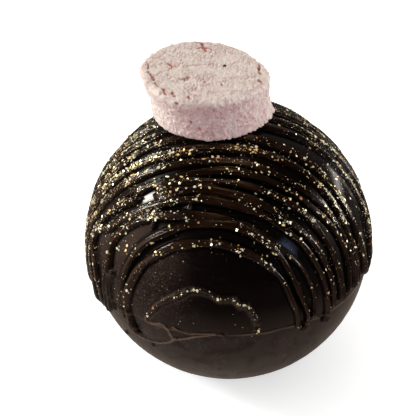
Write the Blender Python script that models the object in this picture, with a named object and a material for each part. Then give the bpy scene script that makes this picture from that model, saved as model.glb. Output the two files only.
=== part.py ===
"""Hot chocolate sphere: a dark chocolate ball of two joined half shells, with piped chocolate drizzle
over its upper half, gold flakes on the drizzle and a slice of pink marshmallow on its crown.

Metres, +Z up. The origin is the middle of the small flat spot that the ball rests on. The front, which
has the widest bare stretch of ball, faces -Y, and +X is on its right.

A place on the ball is a lean and a turn, in degrees. The lean tips towards the back (+) or the front (-)
and the turn runs over the crown from the left seam (-90) through the top (0) to the right seam (+90).
"""

import math
import random

import bmesh
import bpy
from mathutils import Matrix, Vector

BALL_RADIUS = 0.0325
BALL_SEGMENTS = 48
BALL_RINGS = 24
FOOT_RADIUS = 0.006
CENTRE_HEIGHT = math.sqrt(BALL_RADIUS**2 - FOOT_RADIUS**2)
CENTRE = Vector((0, 0, CENTRE_HEIGHT))

# The seam of the two half shells: a low welt, a little lower on the left than on the right.
SEAM_WELT_RADIUS = 0.0006
SEAM_PROUD = 0.0002
SEAM_DROP = 0.0009
SEAM_ROLL = math.radians(3.0)
SEAM_SEGMENTS = 48

# Each front strand of drizzle: the turns and leans that it passes, the turns where it ends, and its
# width in mm.
FRONT_STRANDS = (
    (((-105, -52.1), (-90, -51.0), (-75, -50.6), (-60, -51.0), (-45, -52.0), (-30, -53.5), (0, -56.5),
      (30, -60.5), (60, -63.8), (90, -63.8)), -105, 91, 1.9),
    (((-90, -47.8), (-75, -47.3), (-60, -46.8), (-45, -46.8), (-30, -47.4), (0, -49.8), (30, -55.2),
      (60, -60.3), (90, -60.5)), -95, 96, 1.9),
    (((-75, -38.3), (-60, -35.8), (-45, -38.0), (-30, -41.9), (-15, -45.7), (0, -48.3), (15, -50.9),
      (30, -53.2), (45, -54.2), (60, -55.4), (90, -58.0)), -77, 86, 2.1),
    (((-105, -33.0), (-90, -31.4), (-82, -28.9), (-75, -24.4), (-68, -24.4), (-60, -30.0), (-52, -33.0),
      (-45, -35.2), (-30, -37.8), (0, -42.2), (30, -47.0), (60, -49.8), (90, -51.2)), -102, 95, 1.9),
    (((-30, -35.0), (0, -38.7), (30, -43.9), (60, -46.6), (90, -48.3)), -30, 87, 2.2),
    (((-30, -32.2), (0, -35.0), (30, -38.2), (60, -42.1), (90, -44.2)), -29, 86, 1.9),
    (((-41, -28.0), (-30, -29.2), (-15, -30.2), (0, -30.8), (30, -34.0), (60, -35.9), (75, -38.4),
      (90, -41.0)), -40, 85, 1.8),
    (((-104, -17.0), (-90, -17.2), (-75, -17.9), (-60, -18.7), (-45, -21.2), (-30, -24.1), (-15, -26.0),
      (0, -27.0), (30, -30.5), (60, -34.0), (90, -36.2)), -100, 85, 2.0),
    (((-104, -26.0), (-90, -23.2), (-76, -21.3), (-66, -23.6), (-60, -25.4), (-52, -27.8), (-45, -29.8),
      (-40, -31.0)), -104, -41, 1.7),
    (((-90, -13.0), (-60, -13.8), (-30, -18.2), (-15, -20.4), (0, -21.6), (30, -23.5), (60, -31.0),
      (90, -33.2)), -98, 85, 2.4),
    (((-90, -8.0), (-60, -9.0), (-30, -12.0), (0, -15.0), (30, -18.5), (60, -25.6), (90, -24.4)), -97, 86, 2.4),
    (((-90, -1.5), (-60, -3.5), (-30, -6.5), (0, -8.0), (30, -8.0), (60, -11.5), (90, -20.5)), -98, 88, 2.3),
    (((-90, 5.0), (-60, 2.5), (-30, 0.5), (0, -1.0), (30, -1.5), (60, -5.0), (90, -12.0)), -96, 90, 2.2),
    (((-103, -34.7), (-90, -35.7), (-77, -36.8)), -103, -75, 1.0),
    (((-100, -38.8), (-90, -39.2), (-77, -39.0)), -101, -75, 1.0),
    (((-98, -42.0), (-90, -41.6), (-75, -40.6)), -98, -75, 1.0),
)
# Short beads on the left, where strands end in a hook, a fold and a lump: leans and turns, and a width in mm.
SHORT_BEADS = (
    (((-28.2, -39.0), (-27.2, -41.5), (-26.6, -44.8), (-28.0, -47.0), (-30.2, -45.8), (-31.2, -43.0)), 1.0),
    (((-32.6, -28.2), (-35.0, -29.6), (-37.8, -31.0), (-40.4, -34.6)), 1.9),
    (((-36.2, -76.0), (-38.6, -77.0), (-40.8, -75.5)), 1.9),
)
# Behind the crown the strands go on at about the same pitch to the last one at the back.
BACK_STRAND_COUNT = 9
BACK_FIRST_LEAN = 6.0
BACK_PITCH = 6.6
BACK_JITTER = 1.3
BACK_END_TURN = 93
BACK_END_JITTER = 7
BACK_WIDTH_MM = 2.25
STRAND_PROUD = 0.00085
FRONT_STEP_DEG = 12.0
BACK_STEP_DEG = 16.0
STRAND_END_SHARE = 0.62
STRAND_WAVER_DEG = 0.25
STRAND_SWELL = 0.12
# A thin strand stands no higher than this share of its own radius, so that it still lies on the ball.
THIN_STRAND_SHARE = 1.25

# The short wavy strand low on the front, as (across, above the seam) in mm, from its left end.
FRONT_CURL = (
    (-16.0, 0.8),
    (-13.8, 4.5),
    (-10.6, 7.6),
    (-5.7, 9.9),
    (-1.7, 8.3),
    (0.2, 8.6),
    (1.8, 7.2),
    (4.6, 6.7),
    (5.7, 3.0),
    (5.8, 0.0),
)
FRONT_CURL_WIDTH_MM = 1.5
FRONT_CURL_STEPS = 2

# The largest gold flakes: small grains that stand on the strands, thickest round the slice.
FLAKE_COUNT = 50
FLAKE_RADIUS = 0.0005
FLAKE_PROUD = 0.00025
FLAKE_LEANS = (-58, 62)
FLAKE_TURNS = (-82, 82)
FLAKE_CLEAR_OF_SLICE = 0.0145

# The marshmallow slice: an uneven round slab, sheared to the left, hollowed below where it hugs the ball.
SLICE_SEGMENTS = 48
SLICE_BASE_RADIUS = 0.0128
SLICE_TOP_RADIUS = 0.0133
SLICE_WAIST_SHARE = 0.975
SLICE_BASE_CENTRE = (-0.0034, 0.0004)
SLICE_TOP_CENTRE = (-0.0050, 0.0006)
SLICE_BASE_HEIGHT = 0.0317
SLICE_TOP_HEIGHT = 0.0420
SLICE_BASE_SLOPE = (0.016, 0.0)
SLICE_TOP_SLOPE = (-0.033, 0.075)
SLICE_EDGE = 0.0012
# The slice's radii in mm at equal steps round it, from its left edge towards the front.
SLICE_TOP_OUTLINE_MM = (13.9, 13.7, 13.9, 13.3, 12.6, 12.4, 12.8, 12.0, 13.1, 14.3, 14.6, 14.0)
SLICE_BASE_OUTLINE_MM = (12.9, 12.4, 12.1, 12.1, 11.7, 11.8, 12.5, 12.6, 12.6, 12.7, 12.7, 12.8)
SEAT_GAP = 0.0003

DARK_CHOCOLATE = (0.030, 0.017, 0.012, 1.0)
MARSHMALLOW_PINK = (0.72, 0.53, 0.50, 1.0)
SEED = 41


def place(lean, turn, radius):
    """The point over the ball at that lean and turn, at that distance from the ball's centre."""
    tip, roll = math.radians(lean), math.radians(turn)
    across = math.cos(tip) * math.sin(roll)
    above = math.cos(tip) * math.cos(roll)
    return CENTRE + radius * Vector((across, math.sin(tip), above))


def eased(stations, values, at):
    """A smooth curve through the values at the stations, straight beyond both ends."""
    slopes = [
        (values[min(i + 1, len(values) - 1)] - values[max(i - 1, 0)])
        / (stations[min(i + 1, len(values) - 1)] - stations[max(i - 1, 0)])
        for i in range(len(values))
    ]
    if at <= stations[0]:
        return values[0] + slopes[0] * (at - stations[0])
    if at >= stations[-1]:
        return values[-1] + slopes[-1] * (at - stations[-1])
    i = max(k for k in range(len(stations) - 1) if stations[k] <= at)
    span = stations[i + 1] - stations[i]
    s = (at - stations[i]) / span
    start = (1 + 2 * s) * (1 - s) ** 2 * values[i] + s * (1 - s) ** 2 * span * slopes[i]
    end = s**2 * (3 - 2 * s) * values[i + 1] + s**2 * (s - 1) * span * slopes[i + 1]
    return start + end


def back_strands(draw):
    """The strands behind the crown, which follow a rule with small random differences."""
    rows = []
    for k in range(BACK_STRAND_COUNT):
        middle = BACK_FIRST_LEAN + BACK_PITCH * k
        spread = 1 + 0.012 * k
        route = tuple(
            (turn, middle * spread + draw.uniform(-BACK_JITTER, BACK_JITTER)) for turn in range(-90, 91, 30)
        )
        left = -BACK_END_TURN - draw.uniform(0, BACK_END_JITTER)
        right = BACK_END_TURN - draw.uniform(0, BACK_END_JITTER)
        rows.append((route, left, right, BACK_WIDTH_MM + draw.uniform(-0.25, 0.25)))
    return rows


def material(name, colour, roughness):
    """A plain Principled material."""
    made = bpy.data.materials.new(name)
    made.use_nodes = True
    shader = made.node_tree.nodes["Principled BSDF"]
    shader.inputs["Base Color"].default_value = colour
    shader.inputs["Roughness"].default_value = roughness
    return made


def object_of(name, shape, collection):
    """A mesh object made from a bmesh, linked to the collection."""
    mesh = bpy.data.meshes.new(name)
    shape.to_mesh(mesh)
    shape.free()
    made = bpy.data.objects.new(name, mesh)
    collection.objects.link(made)
    return made


def collection_named(name):
    """A new collection in the scene."""
    made = bpy.data.collections.new(name)
    bpy.context.scene.collection.children.link(made)
    return made


def make_ball(collection):
    """The ball, with a small flat spot below."""
    shape = bmesh.new()
    bmesh.ops.create_uvsphere(
        shape, u_segments=BALL_SEGMENTS, v_segments=BALL_RINGS, radius=BALL_RADIUS
    )
    bmesh.ops.translate(shape, verts=shape.verts, vec=CENTRE)
    cut = bmesh.ops.bisect_plane(
        shape,
        geom=shape.verts[:] + shape.edges[:] + shape.faces[:],
        plane_co=(0, 0, 0),
        plane_no=(0, 0, -1),
        clear_outer=True,
    )
    rim = [piece for piece in cut["geom_cut"] if isinstance(piece, bmesh.types.BMEdge)]
    bmesh.ops.contextual_create(shape, geom=rim)
    bmesh.ops.recalc_face_normals(shape, faces=shape.faces)
    return object_of("chocolate_sphere", shape, collection)


def make_tube(name, points, radii, collection):
    """A closed tube along the points, as a mesh that a Boolean can take."""
    curve = bpy.data.curves.new(name, "CURVE")
    curve.dimensions = "3D"
    curve.bevel_depth = 1.0
    curve.bevel_resolution = 2
    curve.use_fill_caps = True
    spline = curve.splines.new("POLY")
    spline.points.add(len(points) - 1)
    for knot, point, radius in zip(spline.points, points, radii):
        knot.co = (*point, 1)
        knot.radius = radius
    guide = bpy.data.objects.new(name, curve)
    collection.objects.link(guide)
    bpy.context.view_layer.update()
    seen = guide.evaluated_get(bpy.context.evaluated_depsgraph_get())
    mesh = bpy.data.meshes.new_from_object(seen)
    shape = bmesh.new()
    shape.from_mesh(mesh)
    bmesh.ops.remove_doubles(shape, verts=shape.verts, dist=1e-6)
    shape.to_mesh(mesh)
    shape.free()
    tube = bpy.data.objects.new(name + "_solid", mesh)
    tube.matrix_world = guide.matrix_world
    collection.objects.link(tube)
    bpy.data.objects.remove(guide)
    return tube


def strand_sizes(count, width, draw):
    """The tube's radius at each point: uneven along the strand, and smaller at its two ends."""
    half = width / 2
    phase = draw.uniform(0, math.tau)
    sizes = [half * (1 + STRAND_SWELL * math.sin(phase + 1.7 * i)) for i in range(count)]
    sizes[0] *= STRAND_END_SHARE
    sizes[-1] *= STRAND_END_SHARE
    return sizes


def bead_middle(size):
    """How far from the ball's centre the middle of a bead of that radius runs."""
    return BALL_RADIUS + min(STRAND_PROUD, THIN_STRAND_SHARE * size) - size


def make_strand(name, row, step, collection, draw):
    """One strand of drizzle over the ball. Returns the lean and turn of each point that it passes."""
    route, left, right, width_mm = row
    stations = [turn for turn, _ in route]
    leans = [lean for _, lean in route]
    count = round((right - left) / step) + 1
    phase = draw.uniform(0, math.tau)
    sizes = strand_sizes(count, width_mm / 1000, draw)
    passed = []
    points = []
    for i in range(count):
        turn = left + (right - left) * i / (count - 1)
        waver = STRAND_WAVER_DEG * math.sin(phase + turn / 13)
        lean = eased(stations, leans, turn) + waver
        passed.append((lean, turn))
        points.append(place(lean, turn, bead_middle(sizes[i])))
    make_tube(name, points, sizes, collection)
    return passed


def make_short_beads(collection):
    """The hook, the fold and the lump where strands end on the left."""
    for k, (path, width_mm) in enumerate(SHORT_BEADS):
        size = width_mm / 2000
        points = [place(lean, turn, bead_middle(size)) for lean, turn in path]
        make_tube(f"bead_{k}", points, [size] * len(points), collection)


def make_front_curl(collection):
    """The short wavy strand low on the front."""
    steps = (len(FRONT_CURL) - 1) * FRONT_CURL_STEPS
    order = list(range(len(FRONT_CURL)))
    across = [p[0] / 1000 for p in FRONT_CURL]
    above = [p[1] / 1000 for p in FRONT_CURL]
    radius = FRONT_CURL_WIDTH_MM / 2000
    far = BALL_RADIUS + STRAND_PROUD - radius
    points = []
    for i in range(steps + 1):
        x = eased(order, across, i / FRONT_CURL_STEPS)
        z = eased(order, above, i / FRONT_CURL_STEPS)
        points.append(CENTRE + Vector((x, -math.sqrt(far**2 - x**2 - z**2), z)))
    return make_tube("front_curl", points, [radius] * (steps + 1), collection)


def make_seam(collection):
    """The welt where the two half shells were joined."""
    shape = bmesh.new()
    ring = BALL_RADIUS + SEAM_PROUD - SEAM_WELT_RADIUS
    section = bmesh.ops.create_circle(shape, segments=6, radius=SEAM_WELT_RADIUS)["verts"]
    rim = list({edge for corner in section for edge in corner.link_edges})
    bmesh.ops.rotate(shape, verts=section, matrix=Matrix.Rotation(math.pi / 2, 3, "X"))
    bmesh.ops.translate(shape, verts=section, vec=(ring, 0, 0))
    bmesh.ops.spin(
        shape,
        geom=section + rim,
        axis=(0, 0, 1),
        angle=math.tau,
        steps=SEAM_SEGMENTS,
        use_merge=True,
    )
    bmesh.ops.remove_doubles(shape, verts=shape.verts, dist=1e-6)
    bmesh.ops.recalc_face_normals(shape, faces=shape.faces)
    made = object_of("seam_welt", shape, collection)
    made.location = CENTRE - Vector((0, 0, SEAM_DROP))
    made.rotation_euler = (0, -SEAM_ROLL, 0)
    return made


def flake_spots(routes, draw):
    """Spots on the strands for the flakes, clear of the slice and kept apart from one another."""
    spots = []
    while len(spots) < FLAKE_COUNT:
        route = draw.choice(routes)
        k = draw.randrange(len(route) - 1)
        (lean, turn), (next_lean, next_turn) = route[k], route[k + 1]
        share = draw.uniform(0, 1)
        lean, turn = lean + (next_lean - lean) * share, turn + (next_turn - turn) * share
        in_range = FLAKE_LEANS[0] < lean < FLAKE_LEANS[1] and FLAKE_TURNS[0] < turn < FLAKE_TURNS[1]
        spot = place(lean, turn, BALL_RADIUS + STRAND_PROUD)
        beside = (spot - CENTRE - Vector((*SLICE_BASE_CENTRE, 0))).to_2d().length
        apart = all((spot - other).length > 5 * FLAKE_RADIUS for other in spots)
        if in_range and beside > FLAKE_CLEAR_OF_SLICE and apart:
            spots.append(spot)
    return spots


def make_flakes(routes, collection, draw):
    """The largest gold flakes, as small grains half sunk in the strands."""
    for k, spot in enumerate(flake_spots(routes, draw)):
        size = FLAKE_RADIUS * draw.uniform(0.75, 1.2)
        outward = (spot - CENTRE).normalized()
        shape = bmesh.new()
        bmesh.ops.create_icosphere(shape, subdivisions=1, radius=size)
        flake = object_of(f"flake_{k}", shape, collection)
        flake.location = spot + outward * (FLAKE_PROUD - size)
        flake.rotation_euler = [draw.uniform(0, math.tau) for _ in range(3)]


def outline_radius(radii_mm, angle):
    """The radius in metres at an angle round the slice, on a smooth curve through the radii in mm."""
    count = len(radii_mm)
    wrapped = [radii_mm[k % count] for k in range(-2, count + 3)]
    at = (angle + math.pi) % math.tau / math.tau * count
    return eased(list(range(-2, count + 3)), wrapped, at) / 1000


def sloped(x, y, middle, slope):
    """How much higher a tilted plane is at that point than at its middle."""
    return slope[0] * (x - middle[0]) + slope[1] * (y - middle[1])


def make_slice_slab(collection):
    """The slab of the marshmallow slice before its underside is hollowed."""
    shape = bmesh.new()
    rings = (
        (0.0, SLICE_BASE_RADIUS - SLICE_EDGE),
        (0.03, SLICE_BASE_RADIUS - 0.4 * SLICE_EDGE),
        (0.10, SLICE_BASE_RADIUS),
        (0.5, SLICE_BASE_RADIUS * SLICE_WAIST_SHARE),
        (0.92, SLICE_TOP_RADIUS),
        (0.976, SLICE_TOP_RADIUS - 0.3 * SLICE_EDGE),
        (1.0, SLICE_TOP_RADIUS - SLICE_EDGE),
    )
    loops = []
    for share, radius in rings:
        middle = [a + (b - a) * share for a, b in zip(SLICE_BASE_CENTRE, SLICE_TOP_CENTRE)]
        loop = []
        rise = min(max((share - 0.1) / 0.8, 0.0), 1.0)
        rise = rise * rise * (3 - 2 * rise)
        for k in range(SLICE_SEGMENTS):
            angle = math.tau * k / SLICE_SEGMENTS
            top = outline_radius(SLICE_TOP_OUTLINE_MM, angle) / SLICE_TOP_RADIUS
            base = outline_radius(SLICE_BASE_OUTLINE_MM, angle) / SLICE_BASE_RADIUS
            uneven = base + (top - base) * rise
            x = middle[0] + radius * uneven * math.cos(angle)
            y = middle[1] + radius * uneven * math.sin(angle)
            low = SLICE_BASE_HEIGHT + sloped(x, y, SLICE_BASE_CENTRE, SLICE_BASE_SLOPE)
            high = SLICE_TOP_HEIGHT + sloped(x, y, SLICE_TOP_CENTRE, SLICE_TOP_SLOPE)
            loop.append(shape.verts.new(CENTRE + Vector((x, y, low + (high - low) * share))))
        loops.append(loop)
    for lower, upper in zip(loops, loops[1:]):
        for k in range(SLICE_SEGMENTS):
            after = (k + 1) % SLICE_SEGMENTS
            shape.faces.new((lower[k], lower[after], upper[after], upper[k]))
    shape.faces.new(loops[-1])
    shape.faces.new(loops[0][::-1])
    bmesh.ops.recalc_face_normals(shape, faces=shape.faces)
    return object_of("marshmallow_slice", shape, collection)


def hollow_slice(slab, cutters):
    """Cuts the ball's round crown, with its drizzle, out of the slab's underside."""
    shape = bmesh.new()
    reach = BALL_RADIUS + STRAND_PROUD + FLAKE_PROUD + SEAT_GAP
    bmesh.ops.create_uvsphere(shape, u_segments=60, v_segments=60, radius=reach)
    seat = object_of("seat_cutter", shape, cutters)
    seat.location = CENTRE
    seat.hide_render = True
    seat.display_type = "WIRE"
    cut = slab.modifiers.new("seat", "BOOLEAN")
    cut.operation = "DIFFERENCE"
    cut.solver = "EXACT"
    cut.object = seat


def fuse(body, extras):
    """Joins everything in the extras collection onto the body, and removes it."""
    join = body.modifiers.new("fuse", "BOOLEAN")
    join.operation = "UNION"
    join.operand_type = "COLLECTION"
    join.collection = extras
    join.solver = "MANIFOLD"
    bpy.context.view_layer.update()
    seen = body.evaluated_get(bpy.context.evaluated_depsgraph_get())
    mesh = bpy.data.meshes.new_from_object(seen)
    body.modifiers.clear()
    body.data = mesh
    for extra in list(extras.objects):
        bpy.data.objects.remove(extra)
    bpy.data.collections.remove(extras)


def smooth(piece, degrees):
    """Smooth shading, with edges sharper than that angle left crisp."""
    piece.data.shade_smooth()
    piece.data.set_sharp_from_angle(angle=math.radians(degrees))


def main():
    """Builds the two pieces from nothing."""
    for old in list(bpy.data.objects):
        bpy.data.objects.remove(old)
    draw = random.Random(SEED)
    parts = collection_named("hot_chocolate_sphere")
    cutters = collection_named("cutters")
    extras = collection_named("drizzle")

    ball = make_ball(parts)
    front = [(row, FRONT_STEP_DEG) for row in FRONT_STRANDS]
    back = [(row, BACK_STEP_DEG) for row in back_strands(draw)]
    routes = [make_strand(f"strand_{k}", row, step, extras, draw) for k, (row, step) in enumerate(front + back)]
    make_short_beads(extras)
    make_front_curl(extras)
    make_seam(extras)
    make_flakes(routes, extras, draw)
    fuse(ball, extras)
    ball.data.materials.clear()
    ball.data.materials.append(material("dark_chocolate", DARK_CHOCOLATE, 0.3))
    smooth(ball, 40)

    slab = make_slice_slab(parts)
    hollow_slice(slab, cutters)
    slab.data.materials.append(material("pink_marshmallow", MARSHMALLOW_PINK, 0.9))
    smooth(slab, 50)


main()
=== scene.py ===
"""Hot chocolate sphere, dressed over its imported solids.

A dark chocolate ball of two joined half shells carries piped drizzle over its upper half, gold flakes
on the drizzle and a slice of pink marshmallow on its crown. Metres, +Z up, and the front faces -Y.

A place on the ball is a lean and a turn, in degrees. The lean tips towards the back (+) or the front (-)
and the turn runs over the crown from the left seam (-90) through the top (0) to the right seam (+90).
"""

from __future__ import annotations

import logging
import math
import random
from dataclasses import dataclass, field
from enum import Enum
from typing import Any, Sequence

import bpy
import numpy as np
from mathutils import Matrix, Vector, noise


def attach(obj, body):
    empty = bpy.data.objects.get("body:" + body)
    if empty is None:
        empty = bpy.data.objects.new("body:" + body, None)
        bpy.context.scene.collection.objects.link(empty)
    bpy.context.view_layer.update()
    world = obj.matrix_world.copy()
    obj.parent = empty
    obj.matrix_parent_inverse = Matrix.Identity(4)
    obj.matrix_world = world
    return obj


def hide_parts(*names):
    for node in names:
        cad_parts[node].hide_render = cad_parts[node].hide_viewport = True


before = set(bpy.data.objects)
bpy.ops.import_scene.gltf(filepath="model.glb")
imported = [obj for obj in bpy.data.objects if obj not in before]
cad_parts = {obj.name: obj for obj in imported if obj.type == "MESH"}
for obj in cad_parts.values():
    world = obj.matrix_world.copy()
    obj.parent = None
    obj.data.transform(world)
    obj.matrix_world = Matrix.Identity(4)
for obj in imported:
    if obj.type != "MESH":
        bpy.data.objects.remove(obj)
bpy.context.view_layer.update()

logging.basicConfig(level=logging.INFO, format="%(message)s")
log = logging.getLogger("hot_chocolate_sphere")

MM = 0.001
Colour = tuple[float, float, float]


def smoothstep(low: float, high: float, value: np.ndarray) -> np.ndarray:
    """A soft step.

    Args:
        low: where the step starts.
        high: where it is complete.
        value: the numbers to pass through it.

    Returns:
        Numbers from 0 to 1.
    """
    share = np.clip((value - low) / (high - low), 0.0, 1.0)
    return share * share * (3.0 - 2.0 * share)


def eased(stations: Sequence[float], values: Sequence[float], at: np.ndarray) -> np.ndarray:
    """A smooth curve through the values at the stations, straight beyond both ends.

    Args:
        stations: where the values are stated, in rising order.
        values: one value for each station.
        at: where the curve is wanted.

    Returns:
        The curve's value at each place asked for.
    """
    x = np.asarray(stations, float)
    y = np.asarray(values, float)
    slopes = np.empty_like(y)
    slopes[1:-1] = (y[2:] - y[:-2]) / (x[2:] - x[:-2])
    slopes[0] = (y[1] - y[0]) / (x[1] - x[0])
    slopes[-1] = (y[-1] - y[-2]) / (x[-1] - x[-2])
    at = np.asarray(at, float)
    inside = np.clip(at, x[0], x[-1])
    k = np.clip(np.searchsorted(x, inside, side="right") - 1, 0, len(x) - 2)
    span = x[k + 1] - x[k]
    s = (inside - x[k]) / span
    start = (1 + 2 * s) * (1 - s) ** 2 * y[k] + s * (1 - s) ** 2 * span * slopes[k]
    end = s**2 * (3 - 2 * s) * y[k + 1] + s**2 * (s - 1) * span * slopes[k + 1]
    after = np.where(at > x[-1], (at - x[-1]) * slopes[-1], 0.0)
    beyond = np.where(at < x[0], (at - x[0]) * slopes[0], after)
    return start + end + beyond


def fractal(points: np.ndarray, size: float, octaves: int, seed: float) -> np.ndarray:
    """Smooth uneven numbers over a set of points.

    Args:
        points: places in metres, one row each.
        size: how wide the largest lumps are, in metres.
        octaves: how many finer layers are added.
        seed: moves the pattern, so that two calls differ.

    Returns:
        One number of about -1 to 1 for each point.
    """
    shift = Vector((seed, 1.7 * seed, -0.6 * seed))
    return np.array([noise.fractal(Vector(p) / size + shift, 1.0, 2.0, octaves) for p in points])


@dataclass(frozen=True)
class BallFrame:
    """The ball that everything lies on, and the places on it."""

    radius: float = 32.5 * MM
    foot_radius: float = 6.0 * MM

    @property
    def centre(self) -> np.ndarray:
        """The ball's centre, over the flat spot that it rests on."""
        return np.array([0.0, 0.0, math.sqrt(self.radius**2 - self.foot_radius**2)])

    def directions(self, lean: np.ndarray, turn: np.ndarray) -> np.ndarray:
        """The way out of the ball at each place.

        Args:
            lean: degrees to the back (+) or front (-).
            turn: degrees over the crown from the left (-) to the right (+).

        Returns:
            Unit vectors, in the last axis.
        """
        tip, roll = np.radians(lean), np.radians(turn)
        return np.stack([np.cos(tip) * np.sin(roll), np.sin(tip), np.cos(tip) * np.cos(roll)], -1)

    def points(self, lean: np.ndarray, turn: np.ndarray, out: np.ndarray) -> np.ndarray:
        """Points over the ball.

        Args:
            lean: degrees to the back or front.
            turn: degrees over the crown.
            out: the height over the ball, in metres.

        Returns:
            Points in metres, in the last axis.
        """
        reach = self.radius + np.asarray(out, float)
        return self.centre + self.directions(lean, turn) * reach[..., None]

    def front_places(self, pairs_mm: Sequence[tuple[float, float]]) -> np.ndarray:
        """Unit vectors to places on the ball's front.

        Args:
            pairs_mm: how far across and how far above the ball's middle each place is, in mm.

        Returns:
            One unit vector for each pair.
        """
        rows = []
        for across, above in pairs_mm:
            x, z = across * MM / self.radius, above * MM / self.radius
            rows.append((x, -math.sqrt(max(0.0, 1 - x * x - z * z)), z))
        return np.array(rows)


class Profile(Enum):
    """How a bead of chocolate is rounded across its width."""

    PIPED = "piped"
    LIP = "lip"


@dataclass(frozen=True)
class PipedStrand:
    """A strand of drizzle that runs over the ball from left to right."""

    route: tuple[tuple[float, float], ...]
    left: float
    right: float
    width_mm: float
    crest_mm: float = 0.95
    groove: float = 0.06
    groove_pitch: float = 0.72 * MM

    def lean_at(self, turn: np.ndarray, phase: float) -> np.ndarray:
        """Where the strand's middle runs.

        Args:
            turn: degrees over the crown.
            phase: shifts this strand's own wavering.

        Returns:
            The lean in degrees at each turn.
        """
        waver = 0.22 * np.sin(phase + turn / 11.0) + 0.12 * np.sin(2.3 * phase + turn / 4.1)
        return eased([place[0] for place in self.route], [place[1] for place in self.route], turn) + waver

    def width_share(self, turn: np.ndarray) -> np.ndarray:
        """How the strand narrows towards its right end, where the strands lie side by side."""
        return 1.02 - 0.38 * smoothstep(-8, 48, turn)

    def end_bead(self, turn: np.ndarray) -> np.ndarray:
        """How the strand thickens to a bead just inside each end."""
        end_gap = np.minimum(turn - self.left, self.right - turn)
        return 1 + 0.20 * np.exp(-((end_gap - 2.0) / 3.0) ** 2)

    def surface_lines(
        self, across: np.ndarray, side: np.ndarray, turn: np.ndarray, phase: float
    ) -> np.ndarray:
        """The fine grooves along the strand, with a raised line near each edge.

        Args:
            across: metres from the strand's middle.
            side: the same as a share of its half width.
            turn: degrees over the crown.
            phase: shifts this strand's own unevenness.

        Returns:
            A factor of about 1 for the strand's height.
        """
        drift = phase * 5 + turn / 17 + 0.9 * np.sin(turn / 13 + phase)
        grooves = 1 + self.groove * np.sin(across / self.groove_pitch * math.tau + drift)
        edge_at = 0.42 + 0.12 * np.sin(turn / 15 + phase)
        edge_line = (0.26 + 0.12 * smoothstep(0, 50, turn)) * np.exp(-(((side - edge_at) / 0.19) ** 2))
        edge_line *= smoothstep(-1, 0.5, np.sin(turn / 21 + 2 * phase))
        low_line = 0.14 * np.exp(-(((side + 0.5) / 0.16) ** 2))
        low_line *= smoothstep(-0.4, 0.6, np.sin(turn / 12 + 3 * phase))
        return grooves + edge_line + low_line

    def height(self, lean: np.ndarray, turn: np.ndarray, radius: float, phase: float) -> np.ndarray:
        """How far the strand stands over the ball.

        Args:
            lean: degrees, over the whole grid.
            turn: degrees, over the whole grid.
            radius: the ball's radius in metres.
            phase: shifts this strand's own unevenness.

        Returns:
            Heights in metres, 0 where the strand doesn't reach.
        """
        middle = self.lean_at(turn, phase)
        ahead = self.lean_at(turn + 1.0, phase) - middle
        round_lean = np.cos(np.radians(lean))
        skew = round_lean / np.sqrt(ahead**2 + round_lean**2 + 1e-9)
        across = np.radians(lean - middle) * radius * skew
        past = np.maximum(self.left - turn, turn - self.right)
        past = np.radians(np.maximum(past, 0.0)) * radius * round_lean
        swell = 1 + 0.13 * np.sin(phase * 3 + turn / 7.3) + 0.07 * np.sin(phase + turn / 2.9)
        bead = self.end_bead(turn)
        half = self.width_mm / 2 * MM * swell * bead * self.width_share(turn)
        apart = np.sqrt(across**2 + (1.7 * past) ** 2)
        share = np.clip(1 - (apart / half) ** 2, 0.0, 1.0)
        crest = self.crest_mm * MM * (1 + 0.12 * np.sin(phase * 2 + turn / 9.7)) * bead
        steepness = np.where(across < 0, 0.34, 0.42 + 0.16 * smoothstep(10, -50, turn))
        return 0.94 * crest * share**steepness * self.surface_lines(across, across / half, turn, phase)


@dataclass(frozen=True)
class Bead:
    """A short bead, lip or lump of chocolate along a free path."""

    path: tuple[tuple[float, float], ...]
    width_mm: float
    crest_mm: float
    on_front: bool = True
    profile: Profile = Profile.PIPED
    ragged: float = 0.0
    # pale: how much painted highlight colour the bead's crest takes
    pale: float = 0.0

    def directions(self, ball: BallFrame) -> np.ndarray:
        """The path as unit vectors from the ball's centre, smoothed between its points.

        Args:
            ball: the ball that it lies on.

        Returns:
            One unit vector for each step of the path.
        """
        count = len(self.path)
        if count == 1:
            fine = np.array(self.path, float)
        else:
            steps = np.linspace(0, count - 1, (count - 1) * 6 + 1)
            order = np.arange(count)
            first = eased(order, [p[0] for p in self.path], steps)
            second = eased(order, [p[1] for p in self.path], steps)
            fine = np.stack([first, second], 1)
        if self.on_front:
            return ball.front_places([tuple(p) for p in fine])
        return ball.directions(fine[:, 0], fine[:, 1])

    def height(self, spots: np.ndarray, ball: BallFrame) -> np.ndarray:
        """How far the bead stands over the ball.

        Args:
            spots: unit vectors from the ball's centre, one row each.
            ball: the ball that it lies on.

        Returns:
            Heights in metres, 0 where the bead doesn't reach.
        """
        path = self.directions(ball)
        half = self.width_mm / 2 * MM
        reach = (self.width_mm * MM / ball.radius) + 0.02
        middle = path.mean(0)
        spread = np.linalg.norm(path - middle, axis=1).max() + reach
        near = np.nonzero(np.linalg.norm(spots - middle, axis=1) < spread)[0]
        out = np.zeros(len(spots))
        if not len(near):
            return out
        local = spots[near]
        starts = path[:-1] if len(path) > 1 else path
        ends = path[1:] if len(path) > 1 else path
        best = np.full(len(local), 1e9)
        along = np.zeros(len(local))
        for k, (a, b) in enumerate(zip(starts, ends)):
            ab = b - a
            share = np.clip((local - a) @ ab / max(float(ab @ ab), 1e-12), 0, 1)
            gap = np.linalg.norm(local - a - share[:, None] * ab, axis=1)
            closer = gap < best
            best = np.where(closer, gap, best)
            along = np.where(closer, (k + share) / len(starts), along)
        uneven = 1 + self.ragged * (0.5 * np.sin(along * 47) + 0.5 * np.sin(along * 113 + 1.3))
        share = np.clip(1 - (best * ball.radius / (half * uneven)) ** 2, 0, 1)
        power = 0.56 if self.profile is Profile.PIPED else 1.0
        out[near] = self.crest_mm * MM * share**power * uneven
        return out


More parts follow.
